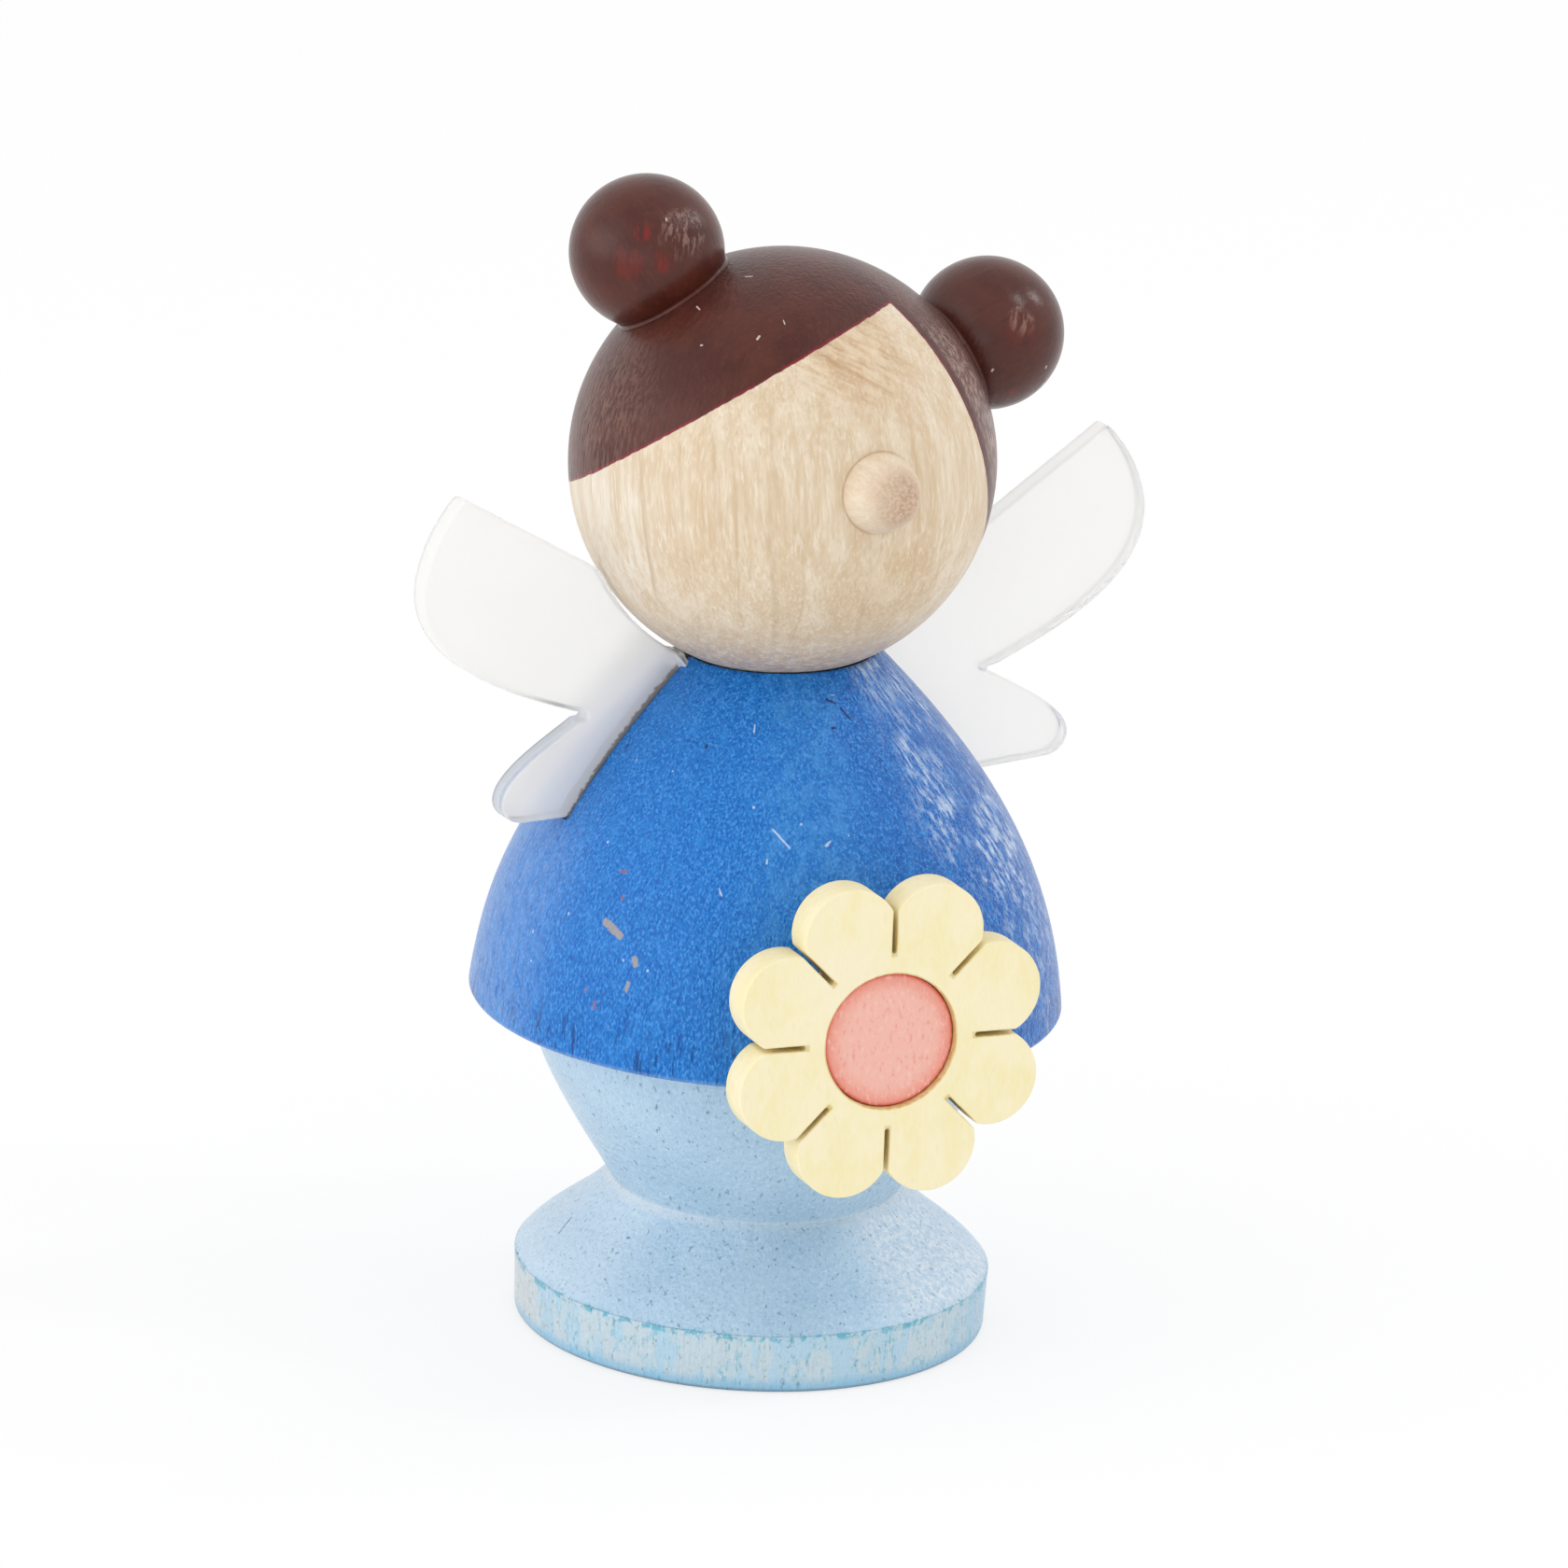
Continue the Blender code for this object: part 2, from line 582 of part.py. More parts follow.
def build():
    wood = new_material("bare_maple", (0.75, 0.61, 0.43), 0.5)
    beech = new_material("beech_dowel", (0.73, 0.55, 0.33), 0.6)
    hair = new_material("hair_paint", (0.1, 0.032, 0.026), 0.3)
    dress_blue = new_material("dress_paint", (0.03, 0.155, 0.58), 0.35)
    skirt_blue = new_material("skirt_paint", (0.3, 0.51, 0.75), 0.4)
    wing_plastic = new_material("milky_plastic", (0.89, 0.88, 0.86), 0.2, alpha=0.8)
    petal_yellow = new_material("petal_stain", (0.91, 0.8, 0.51), 0.6)
    centre_pink = new_material("centre_stain", (0.91, 0.4, 0.35), 0.6)
    seats = {
        "wing_left": wing_seat(1, SEAT_OUT_LEFT, SEAT_UP_LEFT, SEAT_LEAN_LEFT),
        "wing_right": wing_seat(-1, SEAT_OUT_RIGHT, SEAT_UP_RIGHT, SEAT_LEAN_RIGHT),
    }
    buns = {
        "bun_right": bun_frame(bun_direction(-1, BUN_SPREAD_RIGHT, BUN_BACK_RIGHT)),
        "bun_left": bun_frame(bun_direction(1, BUN_SPREAD_LEFT, BUN_BACK_LEFT)),
    }
    kerfs = [make_kerf(name + "_kerf", seat) for name, seat in seats.items()]
    make_foot_skirt(skirt_blue)
    make_dress(dress_blue, kerfs)
    make_body_dowel(beech)
    make_neck_dowel(beech)
    make_head(wood, hair, buns)
    make_nose(wood)
    for name, frame in buns.items():
        make_bun(name, frame, hair)
    head_in_wing = seats["wing_right"].inverted() @ HEAD_CENTRE
    outline = wing_outline((head_in_wing.x, head_in_wing.z))
    for name, seat in seats.items():
        make_wing(name, seat, outline, wing_plastic)
    make_flower(petal_yellow, centre_pink)


clear_scene()
PARTS = new_collection("wooden_fairy")
CUTTERS = new_collection("cutters")
build()
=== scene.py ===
"""Looks of the wooden fairy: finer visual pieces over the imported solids, materials, light, camera.

Shapes are in metres, +Z up, in the frame of the CAD. Node textures and marks are in millimetres.
"""

import math

import bmesh
import bpy
from mathutils import Euler, Matrix, Vector, noise


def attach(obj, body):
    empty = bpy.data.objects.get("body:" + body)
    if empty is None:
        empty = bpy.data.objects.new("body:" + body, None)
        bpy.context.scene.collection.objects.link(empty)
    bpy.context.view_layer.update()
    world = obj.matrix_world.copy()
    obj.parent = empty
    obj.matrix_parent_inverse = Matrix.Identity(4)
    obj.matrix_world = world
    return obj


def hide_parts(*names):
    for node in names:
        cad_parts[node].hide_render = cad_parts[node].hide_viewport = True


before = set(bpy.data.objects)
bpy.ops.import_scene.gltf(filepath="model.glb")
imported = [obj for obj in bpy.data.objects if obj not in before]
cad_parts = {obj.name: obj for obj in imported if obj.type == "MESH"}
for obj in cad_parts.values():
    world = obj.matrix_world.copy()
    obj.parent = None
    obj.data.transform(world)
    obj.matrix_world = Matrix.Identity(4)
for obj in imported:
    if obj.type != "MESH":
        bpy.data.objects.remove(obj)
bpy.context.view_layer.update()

MM = 0.001

# Sizes repeated from the part's source, in metres
GLUE_LINE = 0.0002
FOOT_BASE_RADIUS = 0.01225
FOOT_RIM_RADIUS = 0.01235
FOOT_RIM_HEIGHT = 0.0031
WAIST_RADIUS = 0.0076
WAIST_Z = 0.0075
SKIRT_TOP_RADIUS = 0.01215
SKIRT_TOP_Z = 0.01717
HEM_RADIUS = 0.01534
HEM_Z = 0.01737
NECK_RADIUS = 0.00482
NECK_Z = 0.03627
DISH_RIM_RADIUS = 0.00557
SLOPE_PULLS = ((0.286, 0.375), (0.63, 0.477))
SKIRT_PULLS = ((0.149, 0.154), (1.048, 0.683))
DRESS_PULLS = ((0.0572, 0.3275), (0.2717, 0.6027))
NOSE_PULLS = ((0.05, 0.45), (0.55, 0.9))
HEAD_RADIUS = 0.0109
DISH_RADIUS = HEAD_RADIUS + GLUE_LINE
HEAD_CENTRE = Vector((-0.00045, 0.00025, NECK_Z + math.sqrt(DISH_RADIUS ** 2 - DISH_RIM_RADIUS ** 2)))
HEAD_TURNING = Euler((math.radians(-6.4), math.radians(16.5), math.radians(-1.8)), "YXZ")
HEAD_FRAME = Matrix.Translation(HEAD_CENTRE) @ HEAD_TURNING.to_matrix().to_4x4()
DIPS = ((Vector((-0.631, 0.3, 0.715)).normalized(), 4.5), (Vector((0.741, 0.3, 0.601)).normalized(), 4.17))
BUN_RADIUS = 0.00395
BUN_DISTANCE = HEAD_RADIUS - 0.0019 + BUN_RADIUS
NOSE_RADIUS = 0.00205
NOSE_TIP_RADIUS = 0.0011
NOSE_TIP_ROUND = 0.0006
NOSE_LENGTH = 0.0017
WING_THICKNESS = 0.0012
WING_SETBACK = 0.0012
WING_TIP = (0.01363, 0.0178)
WING_WIDEST = (0.01597, 0.01295)
WING_NOTCH = (0.00692, 0.00545)
WING_NOTCH_WIDTH = 0.0005
LOBE_END = (0.01157, 0.0014)
LOBE_FOOT = (0.0102, 0.00026)
LOBE_FOOT_PULLS = ((0.62, 0.02), (1.0, 0.49))
LOBE_BACK_PULLS = ((0.0, 0.41), (0.79, 0.83))
WING_UNDER_PULLS = ((0.305, 0.146), (1.0, 0.423))
WING_OUTER_PULLS = ((0.0, 0.146), (0.14, 0.583))
WING_SHOULDER_ANGLE = math.radians(-24.0)
WING_SHOULDER_ROUND = 0.0012
WING_TIP_ROUND = 0.0003
PETAL_COUNT = 8
FLOWER_RADIUS = 0.00845
PETAL_RADIUS = 0.0025
SLIT_WIDTH = 0.00025
SLIT_START_RADIUS = 0.00457
FLOWER_THICKNESS = 0.002
FLOWER_HOLE_RADIUS = 0.0035
FLOWER_CENTRE_THICKNESS = 0.0017
FLOWER_RISE = 0.00318
FLOWER_SHIFT = -0.00024
FLOWER_TURN = math.radians(-7.1)
FLOWER_TILT = math.radians(2.2)

# Sizes and fineness that only the looks have
SHARP_ANGLE = math.radians(35)
BODY_STEPS, BUN_STEPS, SMALL_STEPS = 256, 144, 96
BODY_WOBBLE, BALL_WOBBLE = 0.00004, 0.00003
TURNED_EDGE, WAIST_ROUND, HEM_ROUND, FOOT_ROUND = 0.00005, 0.00012, 0.0002, 0.0003
WING_EDGE, PETAL_EDGE, DISC_EDGE = 0.00015, 0.00006, 0.00012
BUN_FILL = 0.00016
NOSE_SEAT_DEPTH = 0.00022
NOSE_ROOT_DEPTH = 0.0015
DISH_INSET = 0.00012
KERF_CLEARANCE = 0.00013
KERF_REACH = 0.012
KERF_OVERLAP = 0.0001
KERF_ROUGHNESS = 0.00004
DROP_RADIUS = 0.00045
DROP_PLACE = Vector((-0.0055, 0.00125, 0.03565))
HOLE_POINTS = 128
INLAY_GAP = 0.00004
# Side, distance out, height above the hem and lean in degrees
WING_SEATS = {"wing_left": (1, 0.00615, 0.01023, -2.5), "wing_right": (-1, 0.00386, 0.01074, 2.5)}
# Piece, node, side, and angles outwards and backwards in degrees
BUNS = (("hair_right", "bun_right", -1, 48.0, 8.4), ("hair_left", "bun_left", 1, 47.0, -1.3))


# Shapes

def curve_points(start, pulls, end, count):
    """Points along a cubic Bezier curve without its start; pulls are shares of its width and height."""
    width, height = end[0] - start[0], end[1] - start[1]
    corners = [start]
    corners += [(start[0] + across * width, start[1] + along * height) for across, along in pulls]
    corners.append(end)
    points = []
    for step in range(1, count + 1):
        t = step / count
        s = 1 - t
        weights = (s ** 3, 3 * s * s * t, 3 * s * t * t, t ** 3)
        points.append(tuple(sum(w * c[axis] for w, c in zip(weights, corners)) for axis in (0, 1)))
    return points


def rounded(before, corner, after, radius, count):
    """An arc that takes the place of a corner between two neighbours."""
    corner = Vector(corner)
    to_before = (Vector(before) - corner).normalized()
    to_after = (Vector(after) - corner).normalized()
    half_angle = to_before.angle(to_after) / 2
    reach = radius / math.tan(half_angle)
    centre = corner + (to_before + to_after).normalized() * (radius / math.sin(half_angle))
    first = corner + to_before * reach - centre
    last = corner + to_after * reach - centre
    spokes = [first.lerp(last, step / count).normalized() for step in range(count + 1)]
    return [tuple(centre + spoke * radius) for spoke in spokes]


def arc_points(centre, radius, start_angle, end_angle, count):
    points = []
    for step in range(count + 1):
        angle = start_angle + (end_angle - start_angle) * step / count
        points.append((centre[0] + radius * math.cos(angle), centre[1] + radius * math.sin(angle)))
    return points


def add_object(name, data):
    item = bpy.data.objects.new(name, data)
    bpy.context.scene.collection.objects.link(item)
    return item


def link(name, mesh, material, place=None):
    item = add_object(name, mesh)
    mesh.shade_smooth()
    mesh.set_sharp_from_angle(angle=SHARP_ANGLE)
    mesh.materials.append(material)
    if place:
        item.matrix_world = place
    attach(item, "root")
    return item


def lathe(name, profile, steps, material, place=None, *, wobble, seed):
    """A turned piece. The profile of (radius, height) starts and ends on the axis; wobble sinks the
    surface a little, unevenly, as hand sanding and brushed paint do."""
    vertices = []
    faces = []
    inner = profile[1:-1]
    for radius, height in inner:
        for step in range(steps):
            angle = 2 * math.pi * step / steps
            point = Vector((radius * math.cos(angle), radius * math.sin(angle), height))
            sink = noise.noise(point * 260 + Vector((seed, 0, 0))) * 0.5 + 0.5
            point.x -= math.cos(angle) * sink * wobble
            point.y -= math.sin(angle) * sink * wobble
            vertices.append(point)
    for row in range(len(inner) - 1):
        for step in range(steps):
            after = (step + 1) % steps
            below = (row + 1) * steps
            faces.append((row * steps + step, below + step, below + after, row * steps + after))
    top = len(vertices)
    vertices.append((0, 0, profile[0][1]))
    bottom = len(vertices)
    vertices.append((0, 0, profile[-1][1]))
    last = (len(inner) - 1) * steps
    for step in range(steps):
        after = (step + 1) % steps
        faces.append((top, step, after))
        faces.append((bottom, last + after, last + step))
    mesh = bpy.data.meshes.new(name)
    mesh.from_pydata(vertices, [], faces)
    return link(name, mesh, material, place)


def ball_profile(radius, rows):
    angles = [math.pi * row / rows for row in range(rows + 1)]
    return [(radius * math.sin(angle), radius * math.cos(angle)) for angle in angles]


def plate(name, outlines, thickness, edge, material, place=None):
    """A plate in the local XZ plane with slightly rounded edges."""
    curve = bpy.data.curves.new(name, "CURVE")
    curve.dimensions = "2D"
    curve.fill_mode = "BOTH"
    curve.extrude = thickness / 2 - edge
    curve.bevel_depth = edge
    curve.bevel_resolution = 3
    curve.offset = -edge
    for outline in outlines:
        spline = curve.splines.new("POLY")
        spline.points.add(len(outline) - 1)
        for point, (across, up) in zip(spline.points, outline):
            point.co = (across, up, 0.0, 1.0)
        spline.use_cyclic_u = True
    drawn = add_object(name + "_outline", curve)
    bpy.context.view_layer.update()
    mesh = bpy.data.meshes.new_from_object(drawn.evaluated_get(bpy.context.evaluated_depsgraph_get()))
    bpy.data.objects.remove(drawn, do_unlink=True)
    builder = bmesh.new()
    builder.from_mesh(mesh)
    bmesh.ops.remove_doubles(builder, verts=builder.verts, dist=0.0000005)
    bmesh.ops.transform(builder, matrix=Matrix.Rotation(math.radians(90), 4, "X"), verts=builder.verts)
    bmesh.ops.recalc_face_normals(builder, faces=builder.faces)
    builder.to_mesh(mesh)
    builder.free()
    mesh.materials.clear()
    mesh.name = name
    item = link(name, mesh, material, place)
    for face in mesh.polygons:
        face.use_smooth = abs(face.normal.y) < 0.99
    return item


def cut(item, tool_mesh):
    """Takes a tool's shape out of a piece, for good."""
    tool = add_object("tool", tool_mesh)
    boolean = item.modifiers.new("cut", "BOOLEAN")
    boolean.operation = "DIFFERENCE"
    boolean.object = tool
    bpy.context.view_layer.update()
    bpy.context.view_layer.objects.active = item
    with bpy.context.temp_override(object=item, active_object=item, selected_objects=[item]):
        bpy.ops.object.modifier_apply(modifier="cut")
    bpy.data.objects.remove(tool, do_unlink=True)


def ring(name, section, steps, material, place):
    """A closed section of (radius, height) points swept once round the Z axis."""
    count = len(section)
    vertices = []
    faces = []
    for step in range(steps):
        angle = 2 * math.pi * step / steps
        across, up = math.cos(angle), math.sin(angle)
        vertices += [(radius * across, radius * up, height) for radius, height in section]
        here, after = step * count, (step + 1) % steps * count
        for corner in range(count):
            onward = (corner + 1) % count
            faces.append((here + corner, after + corner, after + onward, here + onward))
    mesh = bpy.data.meshes.new(name)
    mesh.from_pydata(vertices, [], faces)
    return link(name, mesh, material, place)


def bun_fillet():
    """Section of the paint that fills the corner between a bun and the head."""
    head_reach, bun_reach = HEAD_RADIUS + BUN_FILL, BUN_RADIUS + BUN_FILL
    height = (BUN_DISTANCE ** 2 + head_reach ** 2 - bun_reach ** 2) / (2 * BUN_DISTANCE)
    radius = math.sqrt(head_reach ** 2 - height ** 2)
    to_head = math.atan2(-height, -radius)
    to_bun = math.atan2(BUN_DISTANCE - height, -radius)
    section = arc_points((radius, height), BUN_FILL, to_bun, to_head + 2 * math.pi, 8)
    return section + [(radius * 0.9, height - 0.0003), (radius * 0.9, height + 0.0001)]


def glue_bead():
    """A drop of clear glue, squeezed out at the top of a wing's root."""
    mesh = bpy.data.meshes.new("glue_drop")
    builder = bmesh.new()
    bmesh.ops.create_icosphere(builder, subdivisions=4, radius=DROP_RADIUS)
    for vertex in builder.verts:
        swell = 1 + 0.35 * noise.noise(vertex.co * 3000)
        vertex.co = Vector((vertex.co.x * 0.9, vertex.co.y * 2.6, vertex.co.z * 1.2)) * swell
    builder.to_mesh(mesh)
    builder.free()
    return link("glue_drop", mesh, glue_look(), Matrix.Translation(DROP_PLACE))


def foot_profile():
    rim = (FOOT_RIM_RADIUS, FOOT_RIM_HEIGHT)
    waist = (WAIST_RADIUS, WAIST_Z)
    top = (SKIRT_TOP_RADIUS, SKIRT_TOP_Z)
    base = (FOOT_BASE_RADIUS, 0.0)
    skirt = curve_points(waist, SKIRT_PULLS, top, 60)
    slope = curve_points(rim, SLOPE_PULLS, waist, 50)
    profile = [(0.0, SKIRT_TOP_Z)]
    profile += rounded((0.0, SKIRT_TOP_Z), top, skirt[-2], TURNED_EDGE, 4)
    profile += skirt[-2:1:-1]
    profile += rounded(skirt[1], waist, slope[-3], WAIST_ROUND, 6)
    profile += slope[-3::-1]
    profile += rounded(slope[0], rim, base, TURNED_EDGE, 5)
    flare = FOOT_RIM_RADIUS - FOOT_BASE_RADIUS
    profile += [(FOOT_BASE_RADIUS + flare * k / 8, FOOT_RIM_HEIGHT * k / 8) for k in range(7, 1, -1)]
    profile += rounded(rim, base, (0.0, 0.0), FOOT_ROUND, 6)
    profile += [(FOOT_BASE_RADIUS * 0.6, 0.0), (0.0, 0.0)]
    return profile


def dress_profile():
    hem = (HEM_RADIUS, HEM_Z)
    neck = (NECK_RADIUS, NECK_Z)
    side = curve_points(hem, DRESS_PULLS, neck, 110)
    profile = [(0.0, NECK_Z)]
    profile += side[:1:-1]
    profile += rounded(side[2], hem, (0.0, HEM_Z), HEM_ROUND, 6)
    profile += [(HEM_RADIUS * 0.8, HEM_Z), (0.0, HEM_Z)]
    return profile


def nose_profile():
    tip = (NOSE_TIP_RADIUS, HEAD_RADIUS + NOSE_LENGTH)
    face = (NOSE_RADIUS, HEAD_RADIUS - NOSE_SEAT_DEPTH)
    side = curve_points(face, NOSE_PULLS, tip, 16)
    profile = [(0.0, tip[1]), (NOSE_TIP_RADIUS * 0.4, tip[1])]
    profile += rounded((0.0, tip[1]), tip, side[-7], NOSE_TIP_ROUND, 8)
    profile += side[-7::-1]
    root = HEAD_RADIUS - NOSE_ROOT_DEPTH
    profile += [face, (NOSE_RADIUS, root), (0.0, root)]
    return profile


def wing_seat(side, out, up, lean):
    """A wing's own frame: its root at the origin, growing outwards along +X and upwards."""
    about = Matrix.Rotation(math.radians(0 if side > 0 else 180), 4, "Z")
    place = Matrix.Translation((side * out, WING_SETBACK, HEM_Z + up))
    return place @ about @ Matrix.Rotation(math.radians(lean), 4, "Y")


def wing_outline(head_centre):
    """Lobe, notch, back and tip, and the arc that stays clear of the head, in the wing's own frame."""
    clear_radius = HEAD_RADIUS + GLUE_LINE
    lip = WING_NOTCH_WIDTH / 2
    notch_low = (WING_NOTCH[0] + lip, WING_NOTCH[1] - lip)
    notch_high = (WING_NOTCH[0] + lip, WING_NOTCH[1] + lip)
    shoulder = arc_points(head_centre, clear_radius, WING_SHOULDER_ANGLE, WING_SHOULDER_ANGLE, 1)[0]
    root_angle = -math.acos(-head_centre[0] / clear_radius)
    round_angle = WING_SHOULDER_ROUND / clear_radius
    outline = [(0.0, 0.0), LOBE_FOOT]
    outline += curve_points(LOBE_FOOT, LOBE_FOOT_PULLS, LOBE_END, 16)
    outline += curve_points(LOBE_END, LOBE_BACK_PULLS, notch_low, 24)
    outline += arc_points(WING_NOTCH, lip, math.radians(-120), math.radians(-240), 6)
    outline += curve_points(notch_high, WING_UNDER_PULLS, WING_WIDEST, 36)
    outer = curve_points(WING_WIDEST, WING_OUTER_PULLS, WING_TIP, 24)
    outline += outer[:-1]
    outline += rounded(outer[-2], WING_TIP, shoulder, WING_TIP_ROUND, 5)
    along_arc = arc_points(head_centre, clear_radius, WING_SHOULDER_ANGLE - round_angle, root_angle, 24)
    outline += rounded(WING_TIP, shoulder, along_arc[0], WING_SHOULDER_ROUND, 8)
    outline += along_arc[1:]
    return outline


def petal_outline():
    half_slit = SLIT_WIDTH / 2
    half_pitch = math.pi / PETAL_COUNT
    centre_radius = FLOWER_RADIUS - PETAL_RADIUS
    wall_offset = centre_radius * math.sin(half_pitch) - half_slit
    swing = math.pi / 2 - half_pitch + math.acos(wall_offset / PETAL_RADIUS)
    outline = []
    for petal in range(PETAL_COUNT):
        middle = 2 * half_pitch * petal + half_pitch
        centre = (centre_radius * math.cos(middle), centre_radius * math.sin(middle))
        outline += arc_points(centre, PETAL_RADIUS, middle - math.pi + swing, middle + math.pi - swing, 48)
        slit = middle + half_pitch
        floor = (SLIT_START_RADIUS + half_slit) * Vector((math.cos(slit), math.sin(slit)))
        outline += arc_points(floor, half_slit, slit - math.pi / 2, slit - 3 * math.pi / 2, 8)
    return outline


def hole_outline(radius):
    return arc_points((0, 0), radius, 0, 2 * math.pi * (HOLE_POINTS - 1) / HOLE_POINTS, HOLE_POINTS - 1)


def flower_frame():
    """The middle of the flower's back, just clear of the hem."""
    height = HEM_Z + FLOWER_RISE
    touch = HEM_RADIUS * math.cos(FLOWER_TILT) + HEM_Z * math.sin(FLOWER_TILT) + GLUE_LINE
    out = (touch - height * math.sin(FLOWER_TILT)) / math.cos(FLOWER_TILT)
    place = Matrix.Rotation(FLOWER_TURN, 4, "Z") @ Matrix.Translation((FLOWER_SHIFT, -out, height))
    return place @ Matrix.Rotation(-FLOWER_TILT, 4, "X")


def turned_to(direction):
    """A turn that brings the Z axis to the direction."""
    return direction.to_track_quat("Z", "Y").to_matrix().to_4x4()


def bun_frame(side, spread, back):
    spread, back = math.radians(spread), math.radians(back)
    level = math.cos(back)
    direction = Vector((side * math.sin(spread) * level, math.sin(back), math.cos(spread) * level))
    return HEAD_FRAME @ turned_to(direction)


def dish_tool():
    """The ball that hollows the top of the dress for the head."""
    mesh = bpy.data.meshes.new("dish")
    builder = bmesh.new()
    bmesh.ops.create_uvsphere(builder, u_segments=192, v_segments=128, radius=DISH_RADIUS - DISH_INSET)
    bmesh.ops.translate(builder, vec=HEAD_CENTRE, verts=builder.verts)
    builder.to_mesh(mesh)
    builder.free()
    return mesh


def kerf_tool(name, seat):
    """A saw cut that holds a wing's root, with slightly rough walls."""
    mesh = bpy.data.meshes.new(name + "_kerf")
    builder = bmesh.new()
    bmesh.ops.create_cube(builder, size=1.0)
    bmesh.ops.subdivide_edges(builder, edges=builder.edges, cuts=40, use_grid_fill=True)
    size = (KERF_REACH, WING_THICKNESS + 2 * KERF_CLEARANCE, KERF_REACH)
    bmesh.ops.scale(builder, vec=size, verts=builder.verts)
    middle = KERF_REACH / 2 - KERF_OVERLAP
    bmesh.ops.translate(builder, vec=(middle, 0.0, middle), verts=builder.verts)
    for vertex in builder.verts:
        vertex.co.y += KERF_ROUGHNESS * math.copysign(1, vertex.co.y) * noise.noise(vertex.co * 2500)
        vertex.co.z += LOBE_FOOT[1] / LOBE_FOOT[0] * vertex.co.x * (1 - vertex.co.z / KERF_REACH)
    builder.to_mesh(mesh)
    builder.free()
    mesh.transform(seat)
    return mesh


# Materials

class Graph:
    """A node tree of shader nodes. A value given to one is a plain value or another node's output."""

    def __init__(self, tree):
        self.tree = tree

    def node(self, kind, links=None, **settings):
        made = self.tree.nodes.new("ShaderNode" + kind)
        for key, value in settings.items():
            setattr(made, key, value)
        for key, value in (links or {}).items():
            self.put(made.inputs[key], value)
        return made

    def put(self, socket, value):
        if isinstance(value, bpy.types.NodeSocket):
            self.tree.links.new(value, socket)
        else:
            socket.default_value = value

    def math(self, operation, first, second=0.0, third=0.0):
        made = self.node("Math", {0: first, 1: second, 2: third}, operation=operation)
        return made.outputs[0]

    def times(self, first, *others):
        for other in others:
            first = self.math("MULTIPLY", first, other)
        return first


